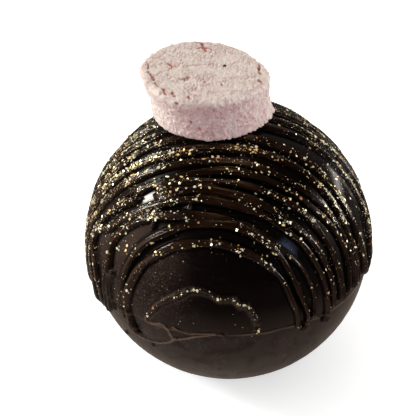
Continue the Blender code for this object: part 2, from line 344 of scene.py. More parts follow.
@dataclass
class Relief:
    """The drizzle, beads and seam as a height over the ball."""

    ball: BallFrame
    front_step: float = 0.22
    upper_step: float = 0.36
    back_step: float = 0.85
    end_step: float = 0.9
    middle_step: float = 1.5
    bare_step: float = 5.0
    flow: tuple[tuple[float, float], ...] = (
        (-180, 0.0), (-122, 0.0), (-105, 8.0), (-90, 8.5), (-75, 9.0), (-60, 8.0), (-30, 3.2), (0, 0.0),
        (30, -3.8), (60, -7.5), (90, -9.5), (105, -10.0), (122, 0.0), (180, 0.0),
    )
    blend: float = 0.045 * MM
    map_shift: float = 0.013
    seed: int = 41
    front_strands: tuple[PipedStrand, ...] = (
        PipedStrand(
            ((-105, -52.1), (-90, -51.0), (-75, -50.6), (-60, -51.0), (-45, -52.0), (-30, -53.5),
             (0, -56.5), (30, -60.5), (60, -63.8), (90, -63.8)),
            -105, 91, 1.9,
        ),
        PipedStrand(
            ((-90, -47.8), (-75, -47.3), (-60, -46.8), (-45, -46.8), (-30, -47.4), (0, -49.8), (30, -55.2),
             (60, -60.3), (90, -60.5)),
            -95, 96, 1.9,
        ),
        PipedStrand(
            ((-75, -38.3), (-60, -35.8), (-45, -38.0), (-30, -41.9), (-15, -45.7), (0, -48.3), (15, -50.9)),
            -77, 12, 2.0,
        ),
        PipedStrand(
            ((0, -48.9), (15, -50.9), (30, -53.2), (45, -54.2), (60, -55.4), (90, -58.0)),
            6, 86, 1.5, 0.8,
        ),
        PipedStrand(
            ((-105, -33.0), (-90, -31.4), (-82, -28.9), (-75, -24.4), (-68, -24.4), (-60, -30.0),
             (-52, -33.0), (-45, -35.2), (-30, -37.8), (0, -42.2), (30, -47.0), (60, -49.8), (90, -51.2)),
            -102, 95, 1.9,
        ),
        PipedStrand(
            ((-30, -35.0), (0, -38.7), (30, -43.9), (60, -46.6), (90, -48.3)),
            -30, 87, 2.2,
        ),
        PipedStrand(
            ((-30, -32.2), (0, -35.0), (30, -38.2), (60, -42.1), (90, -44.2)),
            -29, 86, 1.9,
        ),
        PipedStrand(
            ((-41, -28.0), (-30, -29.2), (-15, -30.2), (0, -30.8), (30, -34.0), (60, -35.9), (75, -38.4),
             (90, -41.0)),
            -40, 85, 1.8,
        ),
        PipedStrand(
            ((-104, -17.0), (-90, -17.2), (-75, -17.9), (-60, -18.7), (-45, -21.2), (-30, -24.1),
             (-15, -26.0), (0, -27.0), (30, -30.5), (60, -34.0), (90, -36.2)),
            -100, 85, 2.0,
        ),
        PipedStrand(
            ((-104, -26.0), (-90, -23.2), (-76, -21.3), (-66, -23.6), (-60, -25.4), (-52, -27.8),
             (-45, -29.8), (-40, -31.0)),
            -104, -41, 1.7,
        ),
        PipedStrand(
            ((-90, -13.0), (-60, -13.8), (-30, -18.2), (-15, -20.4), (0, -21.6), (30, -23.5), (60, -31.0),
             (90, -33.2)),
            -98, 85, 2.4,
        ),
        PipedStrand(
            ((-90, -8.0), (-60, -9.0), (-30, -12.0), (0, -15.0), (30, -18.5), (60, -25.6), (90, -24.4)),
            -97, 86, 2.4,
        ),
        PipedStrand(
            ((-90, -1.5), (-60, -3.5), (-30, -6.5), (0, -8.0), (30, -8.0), (60, -11.5), (90, -20.5)),
            -98, 88, 2.3,
        ),
        PipedStrand(
            ((-90, 5.0), (-60, 2.5), (-30, 0.5), (0, -1.0), (30, -1.5), (60, -5.0), (90, -12.0)),
            -96, 90, 2.2,
        ),
        PipedStrand(
            ((-103, -34.7), (-90, -35.7), (-77, -36.8)),
            -103, -75, 1.0, 0.6,
        ),
        PipedStrand(
            ((-100, -38.8), (-90, -39.2), (-77, -39.0)),
            -101, -75, 0.9, 0.6,
        ),
        PipedStrand(
            ((-98, -42.0), (-90, -41.6), (-75, -40.6)),
            -98, -75, 0.9, 0.6,
        ),
    )
    back_count: int = 9
    back_first_lean: float = 6.0
    back_pitch: float = 6.6
    back_jitter: float = 1.3
    back_end_turn: float = 93
    back_end_jitter: float = 7
    back_width_mm: float = 2.25
    beads: tuple[Bead, ...] = (
        Bead(
            ((-16.3, 0.5), (-13.2, 5.0), (-9.5, 7.8), (-6.4, 9.7), (-3.5, 9.5), (-1.4, 8.4), (1.0, 8.6),
             (2.4, 7.2), (3.9, 7.0), (5.4, 4.7), (6.2, 2.1), (6.0, 0.4)),
            0.85, 0.5, ragged=0.25, pale=0.08,
        ),
        Bead(
            ((-15.6, 0.2), (-12.4, 4.2), (-9.0, 6.8), (-6.2, 8.7), (-3.4, 8.6), (-1.4, 7.6), (1.0, 7.7),
             (2.4, 6.4), (3.6, 6.2), (4.8, 4.3), (5.5, 2.1), (5.3, 0.6)),
            0.5, 0.2, ragged=0.1, pale=0.2,
        ),
        Bead(((-16.3, 0.4), (-16.3, -0.8), (-15.0, -0.9), (-13.1, -0.1), (-12.0, -0.7), (-11.3, -2.1),
              (-10.7, -3.5), (-10.0, -3.4), (-7.8, -2.3), (-6.0, -1.3), (-2.4, -0.1)), 0.6, 0.34,
             profile=Profile.LIP, pale=0.9),
        Bead(((-20.6, -6.8), (-18.5, -7.4), (-15.4, -7.0), (-13.0, -5.9), (-11.4, -4.7), (-10.3, -3.1)),
             0.6, 0.34, profile=Profile.LIP, pale=0.9),
        Bead(((-10.6, 0.1), (-9.3, -0.5), (-7.2, -0.9), (-5.7, -0.4), (-2.4, 0.2)), 0.6, 0.26,
             profile=Profile.LIP, pale=0.7),
        Bead(((-21.6, -3.4), (-18.9, -4.6), (-15.9, -4.9)), 0.4, 0.12, profile=Profile.LIP, pale=0.4),
        Bead(((-28.2, -39.0), (-27.2, -41.5), (-26.6, -44.8), (-28.0, -47.0), (-30.2, -45.8), (-31.2, -43.0)),
             0.9, 0.75, on_front=False),
        Bead(((-32.6, -28.2), (-35.0, -29.6), (-37.8, -31.0), (-40.4, -34.6)), 1.9, 0.85, on_front=False),
        Bead(((-40.6, -35.5), (-43.6, -38.4)), 1.2, 0.6, on_front=False),
        Bead(((-36.2, -76.0), (-38.6, -77.0), (-40.8, -75.5)), 1.9, 0.8, on_front=False, ragged=0.25),
        Bead(((-57.5, 86.0), (-56.6, 89.5), (-54.0, 90.6), (-51.0, 90.0)), 0.6, 0.28, on_front=False),
        Bead(((-64.0, 89.0), (-63.6, 94.0)), 0.6, 0.4, on_front=False),
        Bead(((-60.3, 90.0), (-59.6, 98.0)), 0.55, 0.4, on_front=False),
        Bead(((-50.6, 90.0), (-50.2, 97.5)), 0.5, 0.35, on_front=False),
        Bead(((-41.0, -17.5), (-44.0, -18.5)), 1.2, 0.6, on_front=False),
        Bead(((-20.4, 89.0),), 2.6, 0.9, on_front=False),
        Bead(((-26.2, -104.5),), 2.3, 0.9, on_front=False),
        Bead(((-34.6, -104.0),), 1.5, 0.7, on_front=False),
        Bead(((-51.6, -92.0), (-52.0, -99.0), (-53.4, -107.5)), 1.3, 0.7, on_front=False, ragged=0.45),
        Bead(((-47.8, -91.0), (-48.6, -98.5)), 0.8, 0.5, on_front=False, ragged=0.4),
        Bead(((-49.5, -107.5),), 1.3, 0.45, on_front=False),
        Bead(((-57.5, -119.0),), 0.9, 0.4, on_front=False),
        Bead(((-42.0, -115.5),), 0.8, 0.45, on_front=False),
    )
    rows: np.ndarray = field(init=False)
    turns: np.ndarray = field(init=False)
    lean: np.ndarray = field(init=False)
    turn: np.ndarray = field(init=False)
    heights: np.ndarray = field(init=False)
    piped: np.ndarray = field(init=False)
    pale: np.ndarray = field(init=False)
    across: np.ndarray = field(init=False)

    def __post_init__(self) -> None:
        """Works the heights out over the whole ball."""
        self.rows = self.lean_rows()
        self.turns = self.turn_columns()
        row, self.turn = np.meshgrid(self.rows, self.turns, indexing="ij")
        self.lean = self.flowing(row, self.turn)
        self.worked_out()

    def lean_rows(self) -> np.ndarray:
        """The leans of the grid's rows at the middle: close over the front strands, wider elsewhere."""
        edge = np.arange(-89.2, -84, 0.8)
        front_end = np.arange(-84, -66, 0.5)
        front = np.arange(-66, -12, self.front_step)
        upper = np.arange(-12, 8, self.upper_step)
        back = np.arange(8, 66, self.back_step)
        rest = np.arange(66, 89.5, 1.4)
        return np.concatenate([edge, front_end, front, upper, back, rest])

    def flowing(self, row: np.ndarray, turn: np.ndarray) -> np.ndarray:
        """Bends the grid's rows, so that they run along the strands.

        Args:
            row: the lean of each row at the middle.
            turn: degrees over the crown.

        Returns:
            The lean at each turn.
        """
        shift = eased([place[0] for place in self.flow], [place[1] for place in self.flow], turn)
        upper = smoothstep(25, -5, row)
        left = smoothstep(-75, -35, row) * upper
        right = smoothstep(-80, -50, row) * upper
        return row + np.where(shift > 0, shift * left, shift * right)

    def turn_columns(self) -> np.ndarray:
        """The turns of the grid's columns: close at the strands' ends, wide where the ball is bare."""
        under_left = np.arange(-180, -126, self.bare_step)
        left = np.arange(-126, -76, self.end_step)
        middle = np.arange(-76, 76, self.middle_step)
        right = np.arange(76, 108, self.end_step)
        under_right = np.arange(108, 180, self.bare_step)
        return np.concatenate([under_left, left, middle, right, under_right])

    def strands(self) -> list[PipedStrand]:
        """Every strand: the front ones from their table, and the back ones by their rule."""
        draw = random.Random(self.seed)
        made = list(self.front_strands)
        for k in range(self.back_count):
            middle = self.back_first_lean + self.back_pitch * k
            spread = 1 + 0.012 * k
            route = tuple(
                (turn, middle * spread + draw.uniform(-self.back_jitter, self.back_jitter))
                for turn in range(-90, 91, 30)
            )
            left = -self.back_end_turn - draw.uniform(0, self.back_end_jitter)
            right = self.back_end_turn - draw.uniform(0, self.back_end_jitter)
            made.append(PipedStrand(route, left, right, self.back_width_mm + draw.uniform(-0.25, 0.25)))
        return made

    def seam_gap(self, spots: np.ndarray) -> np.ndarray:
        """How far each spot is above the seam of the two half shells.

        Args:
            spots: unit vectors from the ball's centre.

        Returns:
            Metres above the seam, which is a little lower on the left.
        """
        x, z = spots[..., 0] * self.ball.radius, spots[..., 2] * self.ball.radius
        fall = 0.045 * np.minimum(x, 0.004)
        wave = 0.12 * MM * np.sin(x / (2.9 * MM)) + 0.07 * MM * np.sin(x / (1.1 * MM) + 1)
        return z - fall + 0.1 * MM + wave

    def worked_out(self) -> None:
        """Works out the heights, the share of drizzle, the painted highlight of the pale lips and the way
        across each strand.
        """
        spots = self.ball.directions(self.lean, self.turn)
        draw = random.Random(self.seed + 1)
        total = np.zeros_like(self.lean)
        highest = np.full_like(self.lean, 1e-6)
        self.across = np.radians(self.lean) * self.ball.radius
        for k, strand in enumerate(self.strands()):
            phase = draw.uniform(0, math.tau)
            rise = strand.height(self.lean, self.turn, self.ball.radius, phase)
            total += np.expm1(rise / self.blend)
            side = np.radians(self.lean - strand.lean_at(self.turn, phase)) * self.ball.radius
            side = side + self.map_shift * (k + 1)
            self.across = np.where(rise > highest, side, self.across)
            highest = np.maximum(highest, rise)
        flat = spots.reshape(-1, 3)
        self.pale = np.zeros_like(self.lean)
        for bead in self.beads:
            rise = bead.height(flat, self.ball).reshape(self.lean.shape)
            total += np.expm1(rise / self.blend)
            share = smoothstep(0.15, 0.7, rise / (bead.crest_mm * MM))
            self.pale = np.maximum(self.pale, bead.pale * share)
        height = self.blend * np.log1p(total)
        height = 0.25 * np.roll(height, 1, 0) + 0.5 * height + 0.25 * np.roll(height, -1, 0)
        self.piped = smoothstep(0.05 * MM, 0.4 * MM, height)
        gap = self.seam_gap(spots)
        wobble = 0.6 + 0.4 * np.sin(spots[..., 0] * 31) * np.sin(spots[..., 0] * 13 + spots[..., 1] * 9)
        rim = 0.20 + 0.14 * smoothstep(0.2, 0.5, spots[..., 0])
        line = np.exp(-((gap / (0.30 * MM)) ** 2)) * wobble
        step = 0.10 * MM * smoothstep(-0.2 * MM, 0.2 * MM, gap) * smoothstep(9 * MM, 0.5 * MM, gap)
        self.heights = height + (rim * MM * line + step) * (1 - 0.7 * self.piped)
        # The front of the seam line takes the painted highlight colour too.
        self.pale = np.maximum(self.pale, 0.55 * line * smoothstep(0.0, -0.3, spots[..., 1]))

    def gap_shade_share(self, reach: int = 7) -> np.ndarray:
        """How deep each place lies in a narrow gap beside or between strands, for the painted shade in these
        gaps.

        Args:
            reach: how many rows away the sides of a gap are looked for.

        Returns:
            A share from 0 to 1 over the grid.
        """
        around = sum(np.roll(self.heights, k, 0) for k in range(-reach, reach + 1)) / (2 * reach + 1)
        around = 0.5 * around + 0.25 * (np.roll(around, 1, 1) + np.roll(around, -1, 1))
        return smoothstep(0.06 * MM, 0.34 * MM, around - self.heights)

    def sampled(self, grid: np.ndarray, lean: np.ndarray, turn: np.ndarray) -> np.ndarray:
        """The grid's value between its points.

        Args:
            grid: heights or drizzle shares.
            lean: degrees.
            turn: degrees.

        Returns:
            One value for each place.
        """
        at = np.array(lean, float)
        for _ in range(10):
            at = at + lean - self.flowing(at, turn)
        row = np.clip(np.interp(at, self.rows, np.arange(len(self.rows))), 0, len(self.rows) - 1.001)
        column = np.clip(np.interp(turn, self.turns, np.arange(len(self.turns))), 0, len(self.turns) - 1.001)
        r, c = row.astype(int), column.astype(int)
        fr, fc = row - r, column - c
        near = grid[r, c] * (1 - fc) + grid[r, c + 1] * fc
        far = grid[r + 1, c] * (1 - fc) + grid[r + 1, c + 1] * fc
        return near * (1 - fr) + far * fr


@dataclass(frozen=True)
class SoftZone:
    """A zone of the ball that fades out from its middle."""

    lean: float
    turn: float
    lean_spread: float
    turn_spread: float
    weight: float

    def strength(self, lean: np.ndarray, turn: np.ndarray) -> np.ndarray:
        """How strong the zone is at each place.

        Args:
            lean: degrees.
            turn: degrees.

        Returns:
            The zone's weight in its middle, less around it.
        """
        far = ((lean - self.lean) / self.lean_spread) ** 2 + ((turn - self.turn) / self.turn_spread) ** 2
        return self.weight * np.exp(-far / 2)


@dataclass(frozen=True)
class GoldDusting:
    """Where the gold lies, for the flakes and for the fine dust between them."""

    zones: tuple[SoftZone, ...] = (
        SoftZone(-7, -36, 9, 13, 1.3),
        SoftZone(2, -36, 6, 9, 1.9),
        SoftZone(-5, -28, 5, 6, 1.3),
        SoftZone(-12, -58, 9, 13, 0.7),
        SoftZone(-18, -76, 8, 9, 0.9),
        SoftZone(-28, -94, 8, 9, 0.15),
        SoftZone(-20, -6, 3.2, 20, 0.85),
        SoftZone(-9, -22, 4, 9, 1.2),
        SoftZone(5, 38, 9, 8, 1.2),
        SoftZone(-7, 38, 6, 5, 1.7),
        SoftZone(-19, 45, 6, 5, 1.7),
        SoftZone(-26, 50, 5, 5, 1.0),
        SoftZone(-4, 58, 7, 7, 0.9),
        SoftZone(-14, 70, 9, 6, 0.8),
        SoftZone(-27, -44, 7, 12, 0.5),
        SoftZone(-37, -36, 5, 16, 0.6),
        SoftZone(-28, 16, 6, 24, 0.24),
        SoftZone(-42, 30, 8, 9, 0.5),
        SoftZone(-52, 24, 7, 10, 0.4),
        SoftZone(-44, 64, 12, 14, 0.2),
        SoftZone(-54, -55, 7, 20, 0.2),
        SoftZone(-58, 5, 3, 26, 0.2),
        SoftZone(18, -10, 10, 42, 0.6),
        SoftZone(38, 5, 13, 38, 0.35),
    )
    stray: float = 0.03
    clump_size: float = 2.2 * MM

    def density(self, lean: np.ndarray, turn: np.ndarray) -> np.ndarray:
        """How thick the gold lies.

        Args:
            lean: degrees.
            turn: degrees.

        Returns:
            About 0 for none to 1 for the thickest.
        """
        total = np.full(np.shape(lean), self.stray, float)
        for zone in self.zones:
            total = total + zone.strength(lean, turn)
        return np.clip(total * smoothstep(104, 82, np.abs(turn)), 0, 1)

    def clumps(self, ways: np.ndarray, radius: float) -> np.ndarray:
        """How the gold gathers in small clumps.

        Args:
            ways: unit vectors from the ball's centre.
            radius: the ball's radius in metres.

        Returns:
            A share from 0.15 to 1 for each.
        """
        return 0.15 + 0.85 * smoothstep(-0.35, 0.45, fractal(ways * radius, self.clump_size, 2, 33.0))


class NodeTree:
    """A short way to add and join shader nodes."""

    def __init__(self, tree: bpy.types.NodeTree) -> None:
        """Keeps the tree that the nodes go into."""
        self.tree = tree

    def add(self, kind: str, settings: dict[str, Any] | None = None, **inputs: Any) -> bpy.types.Node:
        """Adds a node.

        Args:
            kind: the node's Blender type name.
            settings: the node's own properties.
            **inputs: values or sockets for its inputs, by name with underscores for spaces.

        Returns:
            The new node.
        """
        node = self.tree.nodes.new(kind)
        for name, value in (settings or {}).items():
            setattr(node, name, value)
        for name, value in inputs.items():
            self.put(node.inputs[name.replace("_", " ")], value)
        return node

    def put(self, socket: bpy.types.NodeSocket, value: Any) -> None:
        """Joins a socket to another, or gives it a plain value."""
        if isinstance(value, bpy.types.NodeSocket):
            self.tree.links.new(value, socket)
        else:
            socket.default_value = value

    def attribute(self, name: str) -> bpy.types.NodeSocket:
        """The number that an attribute of the mesh holds."""
        return self.add("ShaderNodeAttribute", {"attribute_name": name}).outputs["Fac"]

    def maths(
        self, operation: str, first: Any, second: Any = 0.0, clamp: bool = False
    ) -> bpy.types.NodeSocket:
        """A calculation with two values.

        Args:
            operation: the name of Blender's Math operation.
            first: a value or a socket.
            second: a value or a socket.
            clamp: whether the result is held between 0 and 1.

        Returns:
            The result's socket.
        """
        node = self.add("ShaderNodeMath", {"operation": operation, "use_clamp": clamp})
        self.put(node.inputs[0], first)
        self.put(node.inputs[1], second)
        return node.outputs[0]

    def ramp(
        self, value: Any, low: float, high: float, start: Any = 0.0, end: Any = 1.0
    ) -> bpy.types.NodeSocket:
        """A soft step from one value to another.

        Args:
            value: the socket that drives it.
            low: where the step starts.
            high: where it ends.
            start: the result below the step.
            end: the result above it.

        Returns:
            The result's socket.
        """
        node = self.add("ShaderNodeMapRange", {"interpolation_type": "SMOOTHSTEP"})
        for index, given in enumerate((value, low, high, start, end)):
            self.put(node.inputs[index], given)
        return node.outputs[0]

    def blend(self, share: Any, first: Any, second: Any) -> bpy.types.NodeSocket:
        """A mix of two colours.

        Args:
            share: how much of the second, from 0 to 1.
            first: a colour or a socket.
            second: a colour or a socket.

        Returns:
            The mixed colour's socket.
        """
        node = self.add("ShaderNodeMix", {"data_type": "RGBA"})
        self.put(node.inputs[0], share)
        self.put(node.inputs[6], rgba(first))
        self.put(node.inputs[7], rgba(second))
        return node.outputs[2]


def rgba(colour: Any) -> Any:
    """A plain colour with its alpha, and a socket as it is."""
    return (*colour, 1.0) if isinstance(colour, tuple) and len(colour) == 3 else colour


class Effect(Enum):
    """The shared surface effects, each a node group that is built once."""

    FINE_GRAIN = "fine_grain"
    CLOUDY_PATCHES = "cloudy_patches"
    SCATTERED_SPECKS = "scattered_specks"


class EffectGroups:
    """Builds the shared node groups and places them in materials."""

    def __init__(self) -> None:
        """Starts with no group built."""
        self.built: dict[Effect, bpy.types.NodeTree] = {}

    def group(self, effect: Effect) -> bpy.types.NodeTree:
        """The node group of an effect, which is built when first asked for.

        Args:
            effect: which effect.

        Returns:
            Its node tree.
        """
        if effect not in self.built:
            tree = bpy.data.node_groups.new(effect.value, "ShaderNodeTree")
            tree.interface.new_socket("Vector", in_out="INPUT", socket_type="NodeSocketVector")
            maker = {
                Effect.FINE_GRAIN: self._fine_grain,
                Effect.CLOUDY_PATCHES: self._cloudy_patches,
                Effect.SCATTERED_SPECKS: self._scattered_specks,
            }[effect]
            maker(tree)
            self.built[effect] = tree
        return self.built[effect]

    def place(self, nodes: NodeTree, effect: Effect, **inputs: Any) -> bpy.types.Node:
        """Puts an effect into a material.

        Args:
            nodes: the material's nodes.
            effect: which effect.
            **inputs: its input values or sockets, by name with underscores for spaces.

        Returns:
            The group node.
        """
        node = nodes.tree.nodes.new("ShaderNodeGroup")
        node.node_tree = self.group(effect)
        for name, value in inputs.items():
            nodes.put(node.inputs[name.replace("_", " ")], value)
        return node

    @staticmethod
    def _float_input(tree: bpy.types.NodeTree, name: str, value: float) -> None:
        """Adds a number input with its usual value."""
        socket = tree.interface.new_socket(name, in_out="INPUT", socket_type="NodeSocketFloat")
        socket.default_value = value

    @staticmethod
    def _float_output(tree: bpy.types.NodeTree, name: str) -> None:
        """Adds a number output."""
        tree.interface.new_socket(name, in_out="OUTPUT", socket_type="NodeSocketFloat")

    def _fine_grain(self, tree: bpy.types.NodeTree) -> None:
        """Two layers of fine grain, for bumps and for small changes of gloss."""
        self._float_input(tree, "Scale", 2500.0)
        self._float_output(tree, "Height")
        nodes = NodeTree(tree)
        given = nodes.add("NodeGroupInput").outputs
        coarse = nodes.add("ShaderNodeTexNoise", Vector=given["Vector"], Scale=given["Scale"], Detail=4.0)
        twice = nodes.maths("MULTIPLY", given["Scale"], 2.7)
        fine = nodes.add("ShaderNodeTexNoise", Vector=given["Vector"], Scale=twice, Detail=2.0)
        both = nodes.maths("MULTIPLY", coarse.outputs["Fac"], 0.65)
        more = nodes.maths("MULTIPLY", fine.outputs["Fac"], 0.35)
        out = nodes.add("NodeGroupOutput")
        nodes.put(out.inputs["Height"], nodes.maths("ADD", both, more))

    def _cloudy_patches(self, tree: bpy.types.NodeTree) -> None:
        """Soft patches with uneven edges."""
        self._float_input(tree, "Scale", 150.0)
        self._float_input(tree, "Low", 0.42)
        self._float_input(tree, "High", 0.62)
        self._float_output(tree, "Mask")
        nodes = NodeTree(tree)
        given = nodes.add("NodeGroupInput").outputs
        cloud = nodes.add(
            "ShaderNodeTexNoise", Vector=given["Vector"], Scale=given["Scale"], Detail=5.0, Distortion=0.4
        )
        out = nodes.add("NodeGroupOutput")
        nodes.put(out.inputs["Mask"], nodes.ramp(cloud.outputs["Fac"], given["Low"], given["High"]))

    def _scattered_specks(self, tree: bpy.types.NodeTree) -> None:
        """Small separate specks, of which an amount from 0 to 1 shows."""
        self._float_input(tree, "Scale", 2600.0)
        self._float_input(tree, "Amount", 0.3)
        self._float_output(tree, "Mask")
        nodes = NodeTree(tree)
        given = nodes.add("NodeGroupInput").outputs
        cells = nodes.add("ShaderNodeTexVoronoi", Vector=given["Vector"], Scale=given["Scale"])
        pick = nodes.add("ShaderNodeSeparateColor", Color=cells.outputs["Color"])
        shown = nodes.maths("LESS_THAN", pick.outputs[0], given["Amount"])
        size = nodes.ramp(pick.outputs[1], 0.0, 1.0, 0.22, 0.46)
        near = nodes.maths("LESS_THAN", cells.outputs["Distance"], size)
        out = nodes.add("NodeGroupOutput")
        nodes.put(out.inputs["Mask"], nodes.maths("MULTIPLY", shown, near))


EFFECTS = EffectGroups()


def new_material(name: str) -> tuple[bpy.types.Material, NodeTree, bpy.types.Node]:
    """An empty Principled material.

    Args:
        name: the material's name.

    Returns:
        The material, its nodes and its Principled shader.
    """
    made = bpy.data.materials.new(name)
    made.use_nodes = True
    return made, NodeTree(made.node_tree), made.node_tree.nodes["Principled BSDF"]


@dataclass(frozen=True)
class ChocolateFinish:
    """Dark chocolate: a satin shell, glossier drizzle, soft bloom with a painted sheen, gold dust, painted
    light on the strand crests, painted highlights on the pale lips and painted shade in the gaps.
    """

    shell: Colour = (0.0022, 0.0010, 0.0008)
    drizzle: Colour = (0.0058, 0.0024, 0.0014)
    # painted_crest_light: a warmer, lighter colour on the strand crests in patches, painted light on their
    # tops
    painted_crest_light: Colour = (0.026, 0.0105, 0.0045)
    # bloom: a pale haze colour, partly real bloom and partly a painted sheen with painted sparkle
    bloom_and_painted_sheen: Colour = (0.078, 0.048, 0.040)
    # lip: a paler colour on the lips, the curl's inner line and the front of the seam, a painted highlight
    # along these thin ridges
    lip: Colour = (0.085, 0.052, 0.037)
    # gap: near black, painted into the narrow gaps between strands as shade
    gap: Colour = (0.0008, 0.0005, 0.0004)
    dust: Colour = (0.80, 0.68, 0.40)
    sheen_tint: Colour = (1.0, 0.86, 0.79)
    shell_roughness: float = 0.12
    drizzle_roughness: float = 0.075
    bloom_roughness: float = 0.40
    dust_share: float = 0.3
    painted_crest_light_share: float = 0.32
    bloom_and_sheen_share: float = 0.8
    streak_relief: float = 2.0
    scuff_relief: float = 1.6
    grain_relief: float = 0.35
    speck_relief: float = 0.8
    relief_height: float = 0.12 * MM

    def material(self) -> bpy.types.Material:
        """Builds the material.

        Returns:
            The material, which reads its mesh's attributes and the map along its strands.
        """
        made, nodes, shader = new_material("dark_chocolate_dressed")
        place = nodes.add("ShaderNodeTexCoord").outputs["Object"]
        relief = nodes.attribute("relief")
        crest = nodes.attribute("crest")
        scuffed_and_sheen = nodes.attribute("scuffed_and_sheen")
        dusted = nodes.attribute("dusted")
        deep = nodes.attribute("deep")
        pale = nodes.attribute("pale")
        along = nodes.add("ShaderNodeUVMap", {"uv_map": "strand_map"}).outputs["UV"]

        patches = EFFECTS.place(nodes, Effect.CLOUDY_PATCHES, Vector=place, Scale=130.0)
        small_patches = EFFECTS.place(
            nodes, Effect.CLOUDY_PATCHES, Vector=place, Scale=700.0, Low=0.45, High=0.7
        )
        grain = EFFECTS.place(nodes, Effect.FINE_GRAIN, Vector=place, Scale=1800.0)
        sparkle = EFFECTS.place(nodes, Effect.FINE_GRAIN, Vector=place, Scale=3200.0)
        dust_amount = nodes.maths("MULTIPLY", dusted, self.dust_share)
        specks = EFFECTS.place(nodes, Effect.SCATTERED_SPECKS, Vector=place, Scale=3400.0, Amount=dust_amount)

        stretched = nodes.add("ShaderNodeMapping", Vector=along, Scale=(0.07, 1.0, 1.0))
        streaks = EFFECTS.place(nodes, Effect.FINE_GRAIN, Vector=stretched.outputs[0], Scale=2300.0)

        # Painted light: the strand crests turn lighter and warmer in patches, as lit tops.
        painted_warm_light = nodes.maths("MULTIPLY", crest, patches.outputs["Mask"])
        colour = nodes.blend(crest, self.shell, self.drizzle)
        colour = nodes.blend(nodes.maths("MULTIPLY", painted_warm_light, self.painted_crest_light_share), colour, self.painted_crest_light)
        # Where scuffed, the colour lightens in fine specks: partly real bloom, partly a painted sheen with
        # painted sparkle.
        bloom_and_sheen_mask = nodes.maths("MULTIPLY", scuffed_and_sheen, nodes.ramp(sparkle.outputs["Height"], 0.46, 0.62, 0.08, 1.0))
        bloom_and_sheen_mask = nodes.maths("MULTIPLY", bloom_and_sheen_mask, nodes.ramp(small_patches.outputs["Mask"], 0, 1, 0.4, 1.0))
        colour = nodes.blend(nodes.maths("MULTIPLY", bloom_and_sheen_mask, self.bloom_and_sheen_share), colour, self.bloom_and_painted_sheen)
        # Painted highlight: the pale lips and seam line are lightened.
        colour = nodes.blend(pale, colour, self.lip)
        # Painted shade: the narrow gaps between strands go near black, and the same attribute brings a random
        # mottle to the lower ball.
        colour = nodes.blend(deep, colour, self.gap)
        colour = nodes.blend(specks.outputs["Mask"], colour, self.dust)
        nodes.put(shader.inputs["Base Color"], colour)
        # The painted gap shade is also made metallic, so that its dark colour cancels the reflections in the
        # gaps.
        shaded = nodes.maths("MULTIPLY", deep, 0.9)
        nodes.put(shader.inputs["Metallic"], nodes.maths("MAXIMUM", specks.outputs["Mask"], shaded))

        rough = nodes.ramp(relief, 0, 1, self.shell_roughness, self.drizzle_roughness)
        rough = nodes.maths("ADD", rough, nodes.ramp(patches.outputs["Mask"], 0, 1, -0.03, 0.05))
        duller = nodes.maths("MULTIPLY", bloom_and_sheen_mask, self.bloom_roughness - self.shell_roughness)
        rough = nodes.maths("ADD", rough, duller)
        rough = nodes.maths("ADD", rough, nodes.maths("MULTIPLY", deep, 0.3))
        rough = nodes.maths("ADD", rough, nodes.maths("MULTIPLY", specks.outputs["Mask"], 0.1))
        nodes.put(shader.inputs["Roughness"], rough)

        streak_height = nodes.maths("MULTIPLY", streaks.outputs["Height"], relief)
        streak_height = nodes.maths("MULTIPLY", streak_height, self.streak_relief)
        scuff_height = nodes.maths("MULTIPLY", sparkle.outputs["Height"], scuffed_and_sheen)
        scuff_height = nodes.maths("MULTIPLY", scuff_height, self.scuff_relief)
        grain_height = nodes.maths("MULTIPLY", grain.outputs["Height"], self.grain_relief)
        speck_height = nodes.maths("MULTIPLY", specks.outputs["Mask"], self.speck_relief)
        height = nodes.maths("ADD", nodes.maths("ADD", streak_height, scuff_height), grain_height)
        height = nodes.maths("ADD", height, speck_height)
        bump = nodes.add("ShaderNodeBump", Strength=0.55, Distance=self.relief_height, Height=height)
        nodes.put(shader.inputs["Normal"], bump.outputs[0])
        shader.inputs["Specular Tint"].default_value = rgba(self.sheen_tint)
        shader.inputs["IOR"].default_value = 1.45
        return made


@dataclass(frozen=True)
class GoldFinish:
    """Thin edible gold: pale, golden and coppery flakes."""

    pale: Colour = (1.0, 0.95, 0.70)
    golden: Colour = (1.0, 0.78, 0.36)
    copper: Colour = (0.86, 0.43, 0.19)

    def material(self) -> bpy.types.Material:
        """Builds the material.

        Returns:
            The material, which reads the attribute tone of its mesh.
        """
        made, nodes, shader = new_material("gold_flake_dressed")
        place = nodes.add("ShaderNodeTexCoord").outputs["Object"]
        tone = nodes.attribute("tone")
        grain = EFFECTS.place(nodes, Effect.FINE_GRAIN, Vector=place, Scale=6000.0)
        colour = nodes.blend(nodes.ramp(tone, 0.55, 0.75), self.pale, self.golden)
        colour = nodes.blend(nodes.ramp(tone, 0.90, 0.94), colour, self.copper)
        nodes.put(shader.inputs["Base Color"], colour)
        shader.inputs["Metallic"].default_value = 0.5
        nodes.put(shader.inputs["Roughness"], nodes.ramp(grain.outputs["Height"], 0.3, 0.7, 0.22, 0.45))
        bump = nodes.add("ShaderNodeBump", Strength=0.3, Distance=0.00005, Height=grain.outputs["Height"])
        nodes.put(shader.inputs["Normal"], bump.outputs[0])
        return made


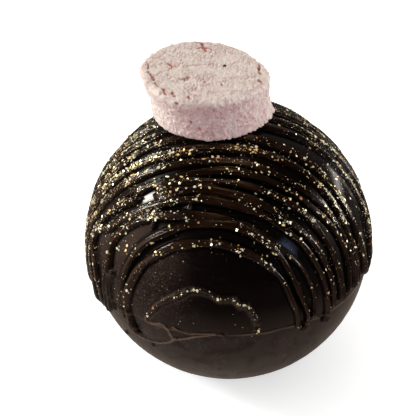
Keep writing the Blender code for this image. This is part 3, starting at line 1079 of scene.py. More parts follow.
@dataclass(frozen=True)
class MarshmallowFinish:
    """Pink marshmallow with a pale powdered face, whose powder share also paints light on the top face and
    the side's ends, and painted shade in its creases.
    """

    pink: Colour = (0.43, 0.245, 0.262)
    powder_and_painted_light: Colour = (0.615, 0.515, 0.468)
    white: Colour = (0.76, 0.66, 0.615)
    # crease: a darker, redder colour, painted into the folds and wrinkle hollows as shade
    crease: Colour = (0.38, 0.19, 0.145)
    pit: Colour = (0.33, 0.070, 0.040)
    speck: Colour = (0.02, 0.012, 0.01)
    wrinkle_turn: float = 0.34
    wrinkle_scale: tuple[float, float, float] = (1.5, 0.6, 1.0)
    patch_change: float = 0.19
    crease_shade_share: float = 0.42
    pore_share: float = 0.3
    pore_depth: float = 0.6
    relief_height: float = 0.36 * MM

    def material(self) -> bpy.types.Material:
        """Builds the material.

        Returns:
            The material, which reads the attributes powdered, pitted, specked and creased of its mesh.
        """
        made, nodes, shader = new_material("marshmallow_dressed")
        place = nodes.add("ShaderNodeTexCoord").outputs["Object"]
        powdered = nodes.attribute("powdered")
        pitted = nodes.attribute("pitted")
        specked = nodes.attribute("specked")
        creased = nodes.attribute("creased")
        patches = EFFECTS.place(nodes, Effect.CLOUDY_PATCHES, Vector=place, Scale=420.0, Low=0.38, High=0.66)
        grain = EFFECTS.place(nodes, Effect.FINE_GRAIN, Vector=place, Scale=1500.0)
        turning = (0.0, 0.0, self.wrinkle_turn)
        turned = nodes.add("ShaderNodeMapping", Vector=place, Rotation=turning, Scale=self.wrinkle_scale)
        wrinkles = EFFECTS.place(nodes, Effect.FINE_GRAIN, Vector=turned.outputs[0], Scale=1300.0)
        pores = EFFECTS.place(nodes, Effect.SCATTERED_SPECKS, Vector=place, Scale=900.0, Amount=0.05)
        change = nodes.ramp(patches.outputs["Mask"], 0, 1, -self.patch_change, self.patch_change)
        # The powdered share is partly painted light: whiter on the top face and at the side's left and right
        # ends.
        share = nodes.maths("ADD", powdered, change, True)
        colour = nodes.blend(share, self.pink, self.powder_and_painted_light)
        fine = nodes.ramp(grain.outputs["Height"], 0.38, 0.62, 0.0, 0.30)
        colour = nodes.blend(fine, colour, self.white)
        # Painted shade: the wrinkle hollows and the carved folds take the darker crease colour.
        low = nodes.ramp(wrinkles.outputs["Height"], 0.46, 0.34, 0.0, 0.35)
        colour = nodes.blend(nodes.maths("MULTIPLY", low, powdered, True), colour, self.crease)
        open_pores = nodes.maths("MULTIPLY", pores.outputs["Mask"], self.pore_share)
        colour = nodes.blend(open_pores, colour, self.pit)
        colour = nodes.blend(nodes.maths("MULTIPLY", creased, self.crease_shade_share), colour, self.crease)
        colour = nodes.blend(pitted, colour, self.pit)
        colour = nodes.blend(specked, colour, self.speck)
        nodes.put(shader.inputs["Base Color"], colour)
        nodes.put(shader.inputs["Roughness"], nodes.ramp(grain.outputs["Height"], 0.3, 0.7, 0.78, 0.96))
        rough_height = nodes.maths("ADD", grain.outputs["Height"], wrinkles.outputs["Height"])
        pore_dip = nodes.maths("MULTIPLY", pores.outputs["Mask"], self.pore_depth)
        height = nodes.maths("SUBTRACT", rough_height, pore_dip)
        bump = nodes.add("ShaderNodeBump", Strength=1.0, Distance=self.relief_height, Height=height)
        nodes.put(shader.inputs["Normal"], bump.outputs[0])
        shader.inputs["Subsurface Weight"].default_value = 0.12
        shader.inputs["Subsurface Radius"].default_value = (1.0, 0.5, 0.4)
        shader.inputs["Subsurface Scale"].default_value = 0.0015
        shader.inputs["Specular IOR Level"].default_value = 0.25
        return made


def mesh_piece(
    name: str,
    points: np.ndarray,
    faces: list[Sequence[int]],
    values: dict[str, np.ndarray],
    smooth: bool = True,
) -> bpy.types.Object:
    """A mesh object with per-point attributes.

    Args:
        name: the piece's name.
        points: its vertices in metres, one row each.
        faces: its faces, each a row of vertex numbers.
        values: attribute names with one number for each vertex.
        smooth: whether it is shaded smooth.

    Returns:
        The new object, linked to the scene.
    """
    mesh = bpy.data.meshes.new(name)
    mesh.from_pydata(points.tolist(), [], faces)
    for key, numbers in values.items():
        attribute = mesh.attributes.new(key, "FLOAT", "POINT")
        attribute.data.foreach_set("value", np.asarray(numbers, np.float32))
    if smooth:
        mesh.shade_smooth()
    mesh.validate()
    made = bpy.data.objects.new(name, mesh)
    bpy.context.scene.collection.objects.link(made)
    return made


def ring_faces(rings: int, around: int, flipped: bool = False) -> list[Sequence[int]]:
    """Faces over a grid that closes round: quads between its rings, and a fan at each end.

    Args:
        rings: how many rings it has.
        around: how many vertices each ring has.
        flipped: whether the faces turn the other way.

    Returns:
        Rows of vertex numbers. The middles of the first and the last fan follow the grid's vertices.
    """
    index = np.arange(rings * around).reshape(rings, around)
    after = np.roll(index, -1, 1)
    quads = np.stack([index[:-1], after[:-1], after[1:], index[1:]], -1).reshape(-1, 4)
    first = [(rings * around, int(b), int(a)) for a, b in zip(index[0], after[0])]
    last = [(rings * around + 1, int(a), int(b)) for a, b in zip(index[-1], after[-1])]
    faces = quads.tolist() + first + last
    return [(face[0], *face[:0:-1]) for face in faces] if flipped else faces


@dataclass
class ChocolateSphere:
    """The ball with its drizzle, beads and seam as one skin."""

    ball: BallFrame
    relief: Relief
    dusting: GoldDusting
    finish: ChocolateFinish = ChocolateFinish()
    unevenness: float = 0.05 * MM
    # The scuff zones also place the painted sheen on the front left.
    scuff_and_sheen_zones: tuple[SoftZone, ...] = (SoftZone(-55, -62, 9, 22, 0.9), SoftZone(-38, -75, 10, 14, 0.5))
    mottle_share: float = 0.34
    pole_scuff: float = 0.2

    def build(self) -> bpy.types.Object:
        """Builds the skin over the grid of leans and turns.

        Returns:
            The dressed piece, which replaces the sphere's solid.
        """
        lean, turn = self.relief.lean, self.relief.turn
        spots = self.ball.directions(lean, turn).reshape(-1, 3)
        dents = fractal(spots * self.ball.radius, 9 * MM, 2, 3.1) * self.unevenness
        heights = self.relief.heights.reshape(-1) + dents
        points = self.ball.centre + spots * (self.ball.radius + heights)[:, None]
        poles = self.ball.points(np.array([-90.0, 90.0]), np.zeros(2), np.zeros(2))
        points = np.concatenate([points, poles])
        points[:, 2] = np.maximum(points[:, 2], 0.0)
        piece = mesh_piece("chocolate_sphere_skin", points, ring_faces(*lean.shape), self.values(lean, turn))
        self.map_strands(piece, turn)
        piece.data.materials.append(self.finish.material())
        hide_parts("chocolate_sphere")
        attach(piece, "root")
        return piece

    def values(self, lean: np.ndarray, turn: np.ndarray) -> dict[str, np.ndarray]:
        """The skin's attributes: how much is drizzle, how scuffed with bloom and painted sheen, how dusted,
        how deep in painted gap shade, and how pale with painted highlight it is.

        Args:
            lean: degrees, over the grid.
            turn: degrees, over the grid.

        Returns:
            One row of numbers for each attribute.
        """
        piped = self.relief.piped
        under = np.abs(turn)
        places = self.ball.directions(lean, turn).reshape(-1, 3) * self.ball.radius
        # The scuffed mask carries real scuffing and bloom, and also the painted sheen.
        scuff_and_sheen = sum(zone.strength(lean, turn) for zone in self.scuff_and_sheen_zones)
        scuff_and_sheen += 0.3 * smoothstep(88, 100, under) + 0.25 * smoothstep(50, 80, lean)
        scuff_and_sheen += 0.2 * smoothstep(-20, -60, turn)
        patches = smoothstep(0.15, 0.6, fractal(places, 5 * MM, 3, 51.0)).reshape(lean.shape)
        scuff_and_sheen += 0.6 * patches * smoothstep(96, 112, under)
        scuff_and_sheen = np.clip(scuff_and_sheen, 0, 1) * (1 - piped)
        fine = smoothstep(-0.1, 0.5, fractal(places, 2.2 * MM, 3, 67.0)).reshape(lean.shape)
        mottle = self.mottle_share * fine * smoothstep(94, 108, under)
        fields = {
            "relief": piped,
            "crest": smoothstep(0.25 * MM, 0.85 * MM, self.relief.heights),
            "scuffed_and_sheen": scuff_and_sheen,
            "dusted": self.dusting.density(lean, turn) * (0.25 + 0.75 * piped),
            # deep: painted shade in the gaps between strands, and a random mottle on the lower ball.
            "deep": np.maximum(self.relief.gap_shade_share(), mottle * (1 - piped)),
            "pale": self.relief.pale,
        }
        at_poles = {"scuffed_and_sheen": self.pole_scuff}
        return {
            key: np.append(grid.reshape(-1), [at_poles.get(key, 0.0)] * 2) for key, grid in fields.items()
        }

    def map_strands(self, piece: bpy.types.Object, turn: np.ndarray) -> None:
        """Lays a map over the skin that runs along the strands, for their fine streaks.

        Args:
            piece: the skin.
            turn: degrees, over the grid.
        """
        mesh = piece.data
        corners = np.empty(len(mesh.loops), np.int32)
        mesh.loops.foreach_get("vertex_index", corners)
        flat_turn = np.concatenate([turn.reshape(-1), [0.0, 0.0]])
        flat_across = np.concatenate([self.relief.across.reshape(-1), [0.0, 0.0]])
        along = np.radians(flat_turn[corners]) * self.ball.radius
        across = flat_across[corners]
        layer = mesh.uv_layers.new(name="strand_map")
        layer.data.foreach_set("uv", np.stack([along, across], 1).astype(np.float32).reshape(-1))


@dataclass(frozen=True)
class GoldBatch:
    """One kind of gold: how many pieces, how large, and how many more cling to the front curl."""

    count: int
    smallest_mm: float
    largest_mm: float
    corners: int
    trail_count: int = 0


@dataclass
class GoldFlakes:
    """The flakes and grains of gold, as one joined mesh."""

    ball: BallFrame
    relief: Relief
    dusting: GoldDusting
    slice_middle: tuple[float, float] = (-3.4 * MM, 0.4 * MM)
    slice_radius: float = 12.4 * MM
    batches: tuple[GoldBatch, ...] = (GoldBatch(3100, 0.08, 0.38, 5, 56), GoldBatch(1500, 0.05, 0.10, 4))
    tries: int = 6000
    # Round this middle the flakes lean towards golden and coppery tones, as painted warm light.
    painted_warm_light_middle: tuple[float, float] = (-22.0, -2.0)
    painted_warm_light_spread: tuple[float, float] = (9.0, 28.0)
    trail_spread: float = 0.005
    tilt: float = 0.34
    half_thickness: float = 0.02 * MM
    finish: GoldFinish = GoldFinish()
    seed: int = 7

    def spots(self, count: int, draw: np.random.Generator) -> tuple[np.ndarray, np.ndarray]:
        """Places for the gold, thickest where it was sprinkled and on the strands.

        Args:
            count: how many places.
            draw: the seeded random numbers.

        Returns:
            The leans and the turns.
        """
        leans, turns = [], []
        while len(leans) < count:
            way = draw.normal(size=(self.tries, 3))
            way /= np.linalg.norm(way, axis=1)[:, None]
            lean = np.degrees(np.arcsin(way[:, 1]))
            turn = np.degrees(np.arctan2(way[:, 0], way[:, 2]))
            piped = smoothstep(0.3 * MM, 0.75 * MM, self.relief.sampled(self.relief.heights, lean, turn))
            chance = self.dusting.density(lean, turn) * (0.06 + 0.94 * piped)
            chance = chance * self.dusting.clumps(way, self.ball.radius)
            aside = np.hypot(
                way[:, 0] * self.ball.radius - self.slice_middle[0],
                way[:, 1] * self.ball.radius - self.slice_middle[1],
            )
            keep = (draw.random(self.tries) < chance) & ((aside > self.slice_radius) | (way[:, 2] < 0))
            leans.extend(lean[keep])
            turns.extend(turn[keep])
        return np.array(leans[:count]), np.array(turns[:count])

    def build(self) -> bpy.types.Object:
        """Builds every flake and grain.

        Returns:
            The dressed piece.
        """
        draw = np.random.default_rng(self.seed)
        points: list[np.ndarray] = []
        faces: list[Sequence[int]] = []
        tones: list[float] = []
        start = 0
        for batch in self.batches:
            low, high = batch.smallest_mm, batch.largest_mm
            lean, turn = self.spots(batch.count, draw)
            if batch.trail_count:
                trail = self.trail(batch.trail_count, draw)
                lean, turn = np.concatenate([lean, trail[0]]), np.concatenate([turn, trail[1]])
            rise = self.relief.sampled(self.relief.heights, lean, turn)
            thick = self.dusting.density(lean, turn)
            # Painted warm light: the real mix of pale, golden and coppery flakes leans coppery round the warm
            # middle.
            off_lean = (lean - self.painted_warm_light_middle[0]) / self.painted_warm_light_spread[0]
            off_turn = (turn - self.painted_warm_light_middle[1]) / self.painted_warm_light_spread[1]
            painted_warm_light = np.exp(-(off_lean**2 + off_turn**2))
            for middle, much, painted_warmth in zip(self.ball.points(lean, turn, rise), thick, painted_warm_light):
                size = low + (high - low) * draw.random() ** (3.6 - 1.7 * much)
                flake = self.flake(middle, size * MM, batch.corners, draw)
                faces.extend(self.plate_faces(start, batch.corners))
                start += len(flake)
                points.append(flake)
                tones.extend([float(draw.random() ** (1.0 - 0.76 * painted_warmth))] * len(flake))
        tone = {"tone": np.array(tones)}
        piece = mesh_piece("gold_flakes", np.concatenate(points), faces, tone, smooth=False)
        piece.data.materials.append(self.finish.material())
        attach(piece, "root")
        return piece

    def trail(self, count: int, draw: np.random.Generator) -> tuple[np.ndarray, np.ndarray]:
        """Places for the gold that clings to the front curl's outer edge.

        Args:
            count: how many places.
            draw: the seeded random numbers.

        Returns:
            The leans and the turns.
        """
        path = self.relief.beads[0].directions(self.ball)
        at = draw.random(count) * (len(path) - 1)
        first = at.astype(int)
        share = (at - first)[:, None]
        ways = path[first] * (1 - share) + path[np.minimum(first + 1, len(path) - 1)] * share
        ways = ways + draw.normal(size=ways.shape) * self.trail_spread
        ways /= np.linalg.norm(ways, axis=1)[:, None]
        return np.degrees(np.arcsin(ways[:, 1])), np.degrees(np.arctan2(ways[:, 0], ways[:, 2]))

    def flake(self, middle: np.ndarray, size: float, sides: int, draw: np.random.Generator) -> np.ndarray:
        """One thin uneven plate, tilted at random from the surface that it lies on.

        Args:
            middle: where it lies.
            size: its rough radius in metres.
            sides: how many corners it has.
            draw: the seeded random numbers.

        Returns:
            Its lower corners and then its upper corners.
        """
        out = (middle - self.ball.centre) / np.linalg.norm(middle - self.ball.centre)
        normal = out + draw.normal(size=3) * self.tilt
        normal /= np.linalg.norm(normal)
        aside = np.cross(normal, draw.normal(size=3))
        aside /= np.linalg.norm(aside)
        other = np.cross(normal, aside)
        angles = (np.arange(sides) + draw.uniform(-0.3, 0.3, sides)) / sides * math.tau
        reach = size * draw.uniform(0.7, 1.2, sides)
        rim = (np.cos(angles) * reach)[:, None] * aside + (np.sin(angles) * reach)[:, None] * other
        lift = 0.03 * MM + size * 0.15
        plate = middle + out * lift + rim
        half = normal * self.half_thickness
        return np.concatenate([plate - half, plate + half])

    @staticmethod
    def plate_faces(start: int, sides: int) -> list[Sequence[int]]:
        """The faces of one plate.

        Args:
            start: the number of its first vertex.
            sides: how many corners it has.

        Returns:
            Rows of vertex numbers.
        """
        low = [start + k for k in range(sides)]
        high = [start + sides + k for k in range(sides)]
        rim = [(low[k], low[(k + 1) % sides], high[(k + 1) % sides], high[k]) for k in range(sides)]
        return [tuple(low[::-1]), tuple(high), *rim]


@dataclass(frozen=True)
class Crack:
    """A crack or crease in the slice's top face, along points in mm from its middle."""

    path: tuple[tuple[float, float], ...]
    width_mm: float
    depth_mm: float
    reddened: float = 0.0


@dataclass(frozen=True)
class SidePit:
    """A pit in the slice's side, at an angle round it and a share of its height."""

    angle: float
    share: float
    width_mm: float
    depth_mm: float
    reddened: float


@dataclass
class MarshmallowSlice:
    """The uneven round slice on the crown, hollowed below where it hugs the ball."""

    ball: BallFrame
    base_radius: float = 12.8 * MM
    top_radius: float = 13.3 * MM
    waist_share: float = 0.975
    base_centre: tuple[float, float] = (-3.4 * MM, 0.4 * MM)
    top_centre: tuple[float, float] = (-5.0 * MM, 0.6 * MM)
    base_height: float = 31.7 * MM
    top_height: float = 42.0 * MM
    base_slope: tuple[float, float] = (0.016, 0.0)
    top_slope: tuple[float, float] = (-0.033, 0.075)
    edge: float = 1.2 * MM
    rim_drop: float = 0.08
    foot_top: float = 0.10
    rim_rings: int = 7
    top_outline_mm: tuple[float, ...] = (
        13.9, 13.7, 13.9, 13.3, 12.6, 12.4, 12.8, 12.0, 13.1, 14.3, 14.6, 14.0,
    )
    base_outline_mm: tuple[float, ...] = (
        12.9, 12.4, 12.1, 12.1, 11.7, 11.8, 12.5, 12.6, 12.6, 12.7, 12.7, 12.8,
    )
    seat: float = 33.9 * MM
    around: int = 560
    top_rings: int = 92
    side_rings: int = 62
    under_rings: int = 14
    finish: MarshmallowFinish = MarshmallowFinish()
    marks_shift_mm: tuple[float, float] = (-0.6, 0.5)
    cracks: tuple[Crack, ...] = (
        Crack(((-1.0, 13.2), (-0.6, 10.2), (0.1, 8.2)), 0.75, 0.6, 0.7),
        Crack(((-0.8, 10.6), (-1.9, 9.1)), 0.5, 0.3, 0.6),
        Crack(((-0.6, 10.2), (1.5, 9.4)), 0.5, 0.3, 0.6),
        Crack(((-0.9, 12.0), (-2.4, 12.3)), 0.5, 0.3, 0.6),
        Crack(((5.2, 11.2), (6.8, 9.9)), 0.6, 0.4, 0.65),
        Crack(((9.0, 8.4), (10.0, 6.6)), 0.4, 0.2, 0.4),
        Crack(((-4.2, 0.5), (-2.0, 1.3), (-0.2, 1.5), (3.4, 2.9)), 0.4, 0.25, 0.3),
        Crack(((-7.6, 1.6), (-6.5, 0.4), (-5.6, 0.3)), 0.65, 0.4, 0.65),
        Crack(((-6.5, 0.4), (-7.4, -1.8)), 0.4, 0.25, 0.35),
        Crack(((-4.3, -5.0), (-3.2, -4.8), (-3.0, -4.0)), 1.0, 0.8, 1.0),
        Crack(((-3.6, -4.9), (-3.5, -5.5)), 0.6, 0.5, 0.9),
        Crack(((-11.6, 1.0), (-11.4, -1.3)), 0.5, 0.35, 0.65),
        Crack(((-11.2, -2.4), (-10.2, -4.4), (-9.7, -6.0)), 0.65, 0.5, 0.8),
        Crack(((-9.4, -7.2), (-8.6, -8.6)), 0.55, 0.4, 0.6),
        Crack(((-7.6, -9.4), (-7.0, -11.4)), 0.6, 0.45, 0.6),
        Crack(((-5.6, -10.6), (-5.2, -12.2)), 0.55, 0.4, 0.6),
        Crack(((-2.6, -11.9), (-2.2, -12.9)), 0.5, 0.4, 0.6),
        Crack(((11.4, 2.8), (11.3, 0.4), (11.6, -1.6)), 0.65, 0.5, 0.8),
        Crack(((11.1, -4.0), (11.7, -5.0)), 0.7, 0.5, 0.75),
        Crack(((3.5, -5.6), (4.0, -7.0)), 0.5, 0.3, 0.3),
        Crack(((4.0, -5.2), (7.0, -3.0), (9.8, -2.0)), 0.4, 0.16, 0.1),
        Crack(((-9.0, 5.0), (-10.2, 3.2)), 0.4, 0.2, 0.25),
    )
    side_pits: tuple[SidePit, ...] = (
        SidePit(-107, 0.44, 0.7, 0.5, 0.9),
        SidePit(-114, 0.88, 0.6, 0.4, 0.7),
        SidePit(-84, 0.76, 0.4, 0.3, 0.3),
        SidePit(-68, 0.72, 0.4, 0.3, 0.3),
        SidePit(-100, 0.3, 0.8, 0.3, 0.4),
        SidePit(40, 0.5, 0.6, 0.4, 0.5),
        SidePit(120, 0.35, 0.7, 0.4, 0.6),
        SidePit(170, 0.6, 0.5, 0.3, 0.4),
    )
    speck: tuple[float, float] = (4.2, 1.7)
    lump_height: float = 0.10 * MM
    small_height: float = 0.15 * MM
    small_extra: float = 0.12 * MM
    chip_height: float = 0.24 * MM
    fold_depth: float = 0.19 * MM
    lip_height: float = 0.32 * MM
    crack_redness: float = 1.9
    pit_redness: float = 1.6

    def outline(self, share: np.ndarray, radius: np.ndarray, angle: np.ndarray) -> np.ndarray:
        """Points of the slice.

        Args:
            share: how far up, from 0 at the base to 1 at the top.
            radius: how far from its middle line, in metres.
            angle: radians round it.

        Returns:
            Points in metres from the ball's centre.
        """
        top = self.outline_radius(self.top_outline_mm, angle) / self.top_radius
        base = self.outline_radius(self.base_outline_mm, angle) / self.base_radius
        uneven = base + (top - base) * smoothstep(0.1, 0.9, share)
        middle_x = self.base_centre[0] + (self.top_centre[0] - self.base_centre[0]) * share
        middle_y = self.base_centre[1] + (self.top_centre[1] - self.base_centre[1]) * share
        x = middle_x + radius * uneven * np.cos(angle)
        y = middle_y + radius * uneven * np.sin(angle)
        low = self.plane(x, y, self.base_height, self.base_centre, self.base_slope)
        high = self.plane(x, y, self.top_height, self.top_centre, self.top_slope)
        return np.stack([x, y, low + (high - low) * share], -1)

    @staticmethod
    def outline_radius(radii_mm: Sequence[float], angle: np.ndarray) -> np.ndarray:
        """A smooth uneven outline.

        Args:
            radii_mm: the radius at equal steps round it, from the left edge towards the front.
            angle: radians round it.

        Returns:
            The radius in metres at each angle.
        """
        count = len(radii_mm)
        wrapped = [radii_mm[k % count] for k in range(-2, count + 3)]
        at = (np.asarray(angle) + math.pi) % math.tau / math.tau * count
        return eased(np.arange(-2, count + 3), wrapped, at) * MM

    @staticmethod
    def plane(
        x: np.ndarray, y: np.ndarray, height: float, middle: tuple[float, float], slope: tuple[float, float]
    ) -> np.ndarray:
        """The height of a tilted plane.

        Args:
            x: metres across.
            y: metres to the back.
            height: the plane's height at its middle.
            middle: where its middle is.
            slope: how it rises across and to the back.

        Returns:
            Heights in metres.
        """
        return height + slope[0] * (x - middle[0]) + slope[1] * (y - middle[1])

    def rings(self) -> tuple[np.ndarray, np.ndarray]:
        """The rings from the middle of the top, over the rim and down the side, to the base.

        Returns:
            The share of the height and the radius of each ring.
        """
        flat = self.top_radius - self.edge
        top = np.linspace(0.0, flat, self.top_rings + 1)[1:]
        bend = np.linspace(0, 1, self.rim_rings + 1)[1:] * math.pi / 2
        rim_share = 1 - self.rim_drop * (1 - np.cos(bend))
        rim_radius = flat + self.edge * np.sin(bend)
        side = np.linspace(1 - self.rim_drop, self.foot_top, self.side_rings + 1)[1:]
        waist = self.base_radius * self.waist_share
        stations = [self.foot_top, 0.5, 1 - self.rim_drop]
        side_radius = np.interp(side, stations, [self.base_radius, waist, self.top_radius])
        soft = 0.5 * (1 - np.cos(np.linspace(0, math.pi, len(side))))
        side_radius = side_radius * (1 - 0.004 * np.sin(soft * math.pi))
        foot_share = np.array([0.055, 0.025, 0.008, 0.0])
        foot_radius = self.base_radius - np.array([0.12, 0.35, 0.65, 1.0]) * self.edge
        share = np.concatenate([np.ones(len(top)), rim_share, side, foot_share])
        radius = np.concatenate([top, rim_radius, side_radius, foot_radius])
        return share, radius

    def build(self) -> bpy.types.Object:
        """Builds the slice with its uneven powdery skin, cracks and pits, its powder also painting light on
        the top and the side's ends.

        Returns:
            The dressed piece, which replaces the slice's solid.
        """
        share, radius = self.rings()
        angle = np.linspace(0, math.tau, self.around, endpoint=False)
        shares = np.repeat(share[:, None], self.around, 1)
        radii = np.repeat(radius[:, None], self.around, 1)
        angles = np.repeat(angle[None, :], len(share), 0)
        points = self.outline(shares, radii, angles)
        inner = np.linspace(1, 0, self.under_rings + 1)[1:-1] * radius[-1]
        under = self.outline(
            np.zeros((len(inner), self.around)),
            np.repeat(inner[:, None], self.around, 1),
            np.repeat(angle[None, :], len(inner), 0),
        )
        flat = points.reshape(-1, 3)
        outward = self.outward(shares, radii, angles).reshape(-1, 3)
        flat_shares, flat_angles = shares.reshape(-1), angles.reshape(-1)
        carve, reddened, specked, creased = self.carving(flat, flat_shares, flat_angles, outward)
        flat = self.seated(flat + outward * carve[:, None])
        under = self.seated(under.reshape(-1, 3))
        top_middle = self.outline(np.array([1.0]), np.array([0.0]), np.array([0.0]))
        under_middle = self.seated(self.outline(np.array([0.0]), np.array([0.0]), np.array([0.0])))
        everything = np.concatenate([flat, under, top_middle, under_middle]) + self.ball.centre
        # The powder share is real powder and painted light: whiter on the top face, and whiter at the left
        # and right ends of the side where the side lamps fall, leaving the front of the side pinker as
        # painted shade.
        powder_and_painted_light = 0.22 + 0.68 * smoothstep(0.84, 0.95, flat_shares)
        powder_and_painted_light += 0.35 * smoothstep(0.12, 0.0, flat_shares)
        side = np.cos(flat_angles)
        powder_and_painted_light += 0.42 * side**2 + 0.5 * smoothstep(0.2, 1.0, -side) + 0.05 * smoothstep(0.2, 1.0, side)
        rest = len(everything) - len(flat)
        values = {
            "powdered": np.concatenate([powder_and_painted_light, np.full(rest, 0.6)]),
            "pitted": np.concatenate([reddened, np.zeros(rest)]),
            "specked": np.concatenate([specked, np.zeros(rest)]),
            "creased": np.concatenate([creased, np.zeros(rest)]),
        }
        faces = ring_faces(len(share) + len(inner), self.around, flipped=True)
        piece = mesh_piece("marshmallow_slice_skin", everything, faces, values)
        piece.data.materials.append(self.finish.material())
        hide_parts("marshmallow_slice")
        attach(piece, "root")
        return piece

    def outward(self, shares: np.ndarray, radii: np.ndarray, angles: np.ndarray) -> np.ndarray:
        """The way out of the slice's skin: up on its top, sideways on its side and round on its rim.

        Args:
            shares: how far up each point is.
            radii: how far out it is.
            angles: radians round the slice.

        Returns:
            Unit vectors.
        """
        sideways = smoothstep(self.top_radius - self.edge, self.top_radius - 0.1 * self.edge, radii)
        sideways = np.where(shares < 1 - self.rim_drop, 1.0, sideways)
        down = smoothstep(0.1, 0.0, shares)
        up = (1 - sideways) - 0.7 * down
        way = np.stack([sideways * np.cos(angles), sideways * np.sin(angles), up], -1)
        return way / np.linalg.norm(way, axis=-1)[..., None]

    def carving(
        self, points: np.ndarray, shares: np.ndarray, angles: np.ndarray, outward: np.ndarray
    ) -> tuple[np.ndarray, np.ndarray, np.ndarray, np.ndarray]:
        """The skin's small relief.

        Args:
            points: the skin's points, from the ball's centre.
            shares: how far up each is.
            angles: radians round the slice.
            outward: the way out at each.

        Returns:
            How far out each point moves, how reddened it is, how dark with a speck, and how creased.
        """
        lumps = fractal(points, 3.2 * MM, 2, 5.0) * self.lump_height
        level = np.linalg.norm(outward[:, :2], axis=1)
        small = fractal(points, 0.75 * MM, 3, 9.0) * (self.small_height + self.small_extra * level)
        chipped = fractal(points, 1.4 * MM, 3, 31.0) * self.chip_height
        chipped *= level * smoothstep(0.86, 0.96, shares)
        grain = np.array([[0.94 * 1.5, 0.33 * 0.6, 0.0], [-0.33 * 1.5, 0.94 * 0.6, 0.0], [0.0, 0.0, 1.0]])
        folds = np.exp(-((np.abs(fractal(points @ grain, 0.9 * MM, 2, 14.0)) / 0.15) ** 2))
        on_top = smoothstep(0.925, 0.95, shares)
        wrinkled = 0.25 + 0.75 * on_top * smoothstep(-0.35, 0.25, lumps / self.lump_height)
        creased = folds * wrinkled
        move = lumps + small + chipped - self.fold_depth * creased
        move += self.rolled_lip(shares, angles) * (1 + 0.25 * small / self.small_height)
        x = (points[:, 0] - self.top_centre[0]) / MM - self.marks_shift_mm[0]
        y = (points[:, 1] - self.top_centre[1]) / MM - self.marks_shift_mm[1]
        crack_dip, crack_red = self.cracking(points, x, y)
        pit_dip, pit_red = self.pitting(shares, angles)
        move -= crack_dip * on_top + pit_dip * (1 - on_top)
        reddened = np.maximum(crack_red * on_top, pit_red * (1 - on_top))
        dot = np.hypot(x - self.speck[0], 0.7 * (y - self.speck[1]))
        specked = smoothstep(0.46, 0.34, dot) * on_top
        return move, reddened, specked, creased

    def rolled_lip(self, shares: np.ndarray, angles: np.ndarray) -> np.ndarray:
        """The lip that is rolled outwards at the base, in front and on the right, with a groove over it.

        Args:
            shares: how far up each point is.
            angles: radians round the slice.

        Returns:
            How far out each point moves, in metres.
        """
        facing = smoothstep(-0.35, 0.15, np.cos(angles)) * smoothstep(0.9, 0.2, np.sin(angles))
        lip = np.exp(-(((shares - 0.07) / 0.055) ** 2))
        groove = np.exp(-(((shares - 0.2) / 0.04) ** 2))
        return self.lip_height * (lip - 0.7 * groove) * facing

    def cracking(self, points: np.ndarray, x: np.ndarray, y: np.ndarray) -> tuple[np.ndarray, np.ndarray]:
        """The cracks of the top face, with torn edges.

        Args:
            points: the skin's points, from the ball's centre.
            x: how far right of the marks' middle each is, in mm.
            y: how far behind it, in mm.

        Returns:
            How deep each point lies in metres, and how reddened it is.
        """
        wander = fractal(points, 0.7 * MM, 3, 21.0) * 0.3
        torn = 0.5 + 0.5 * smoothstep(-0.3, 0.2, fractal(points, 0.7 * MM, 2, 27.0))
        places = np.stack([x + wander, y - wander], 1)
        depth, reddened = np.zeros(len(points)), np.zeros(len(points))
        for crack in self.cracks:
            gap = self.path_gap(places, crack.path)
            dip = np.exp(-((gap / (crack.width_mm / 2)) ** 4)) * torn
            depth += crack.depth_mm * MM * dip
            reddened = np.maximum(reddened, min(self.crack_redness * crack.reddened, 1.0) * dip)
        return depth, reddened

    def pitting(self, shares: np.ndarray, angles: np.ndarray) -> tuple[np.ndarray, np.ndarray]:
        """The pits of the side.

        Args:
            shares: how far up each point is.
            angles: radians round the slice.

        Returns:
            How deep each point lies in metres, and how reddened it is.
        """
        depth, reddened = np.zeros(len(shares)), np.zeros(len(shares))
        for pit in self.side_pits:
            sweep = (np.degrees(angles) - pit.angle + 180) % 360 - 180
            across = np.radians(sweep) * self.base_radius / MM
            rise = (shares - pit.share) * (self.top_height - self.base_height) / MM
            dip = np.exp(-((np.hypot(across, rise) / (pit.width_mm / 2)) ** 3))
            depth += pit.depth_mm * MM * dip
            reddened = np.maximum(reddened, min(self.pit_redness * pit.reddened, 1.0) * dip)
        return depth, reddened

    @staticmethod
    def path_gap(places: np.ndarray, path: Sequence[tuple[float, float]]) -> np.ndarray:
        """How far each place is from a path.

        Args:
            places: pairs of numbers.
            path: the path's points, in the same units.

        Returns:
            One distance for each place.
        """
        best = np.full(len(places), 1e9)
        for a, b in zip(path[:-1], path[1:]):
            start = np.array(a, float)
            step = np.array(b, float) - start
            share = np.clip((places - start) @ step / (step @ step), 0, 1)
            best = np.minimum(best, np.linalg.norm(places - start - share[:, None] * step, axis=1))
        return best

    def seated(self, points: np.ndarray) -> np.ndarray:
        """Lifts what would sink into the ball and its drizzle onto the seat that hugs them.

        Args:
            points: points from the ball's centre.

        Returns:
            The points, each at least the seat's radius from the ball's centre.
        """
        beside = np.hypot(points[:, 0], points[:, 1])
        seat = np.sqrt(np.maximum(self.seat**2 - beside**2, 0.0))
        lifted = points.copy()
        lifted[:, 2] = np.maximum(points[:, 2], seat)
        return lifted


def way_towards(azimuth: float, elevation: float) -> tuple[float, float, float]:
    """The way from the ball towards something around it.

    Args:
        azimuth: degrees from the front, growing to the right.
        elevation: degrees over the horizon.

    Returns:
        A unit vector.
    """
    side, rise = math.radians(azimuth), math.radians(elevation)
    return (math.cos(rise) * math.sin(side), -math.cos(rise) * math.cos(side), math.sin(rise))


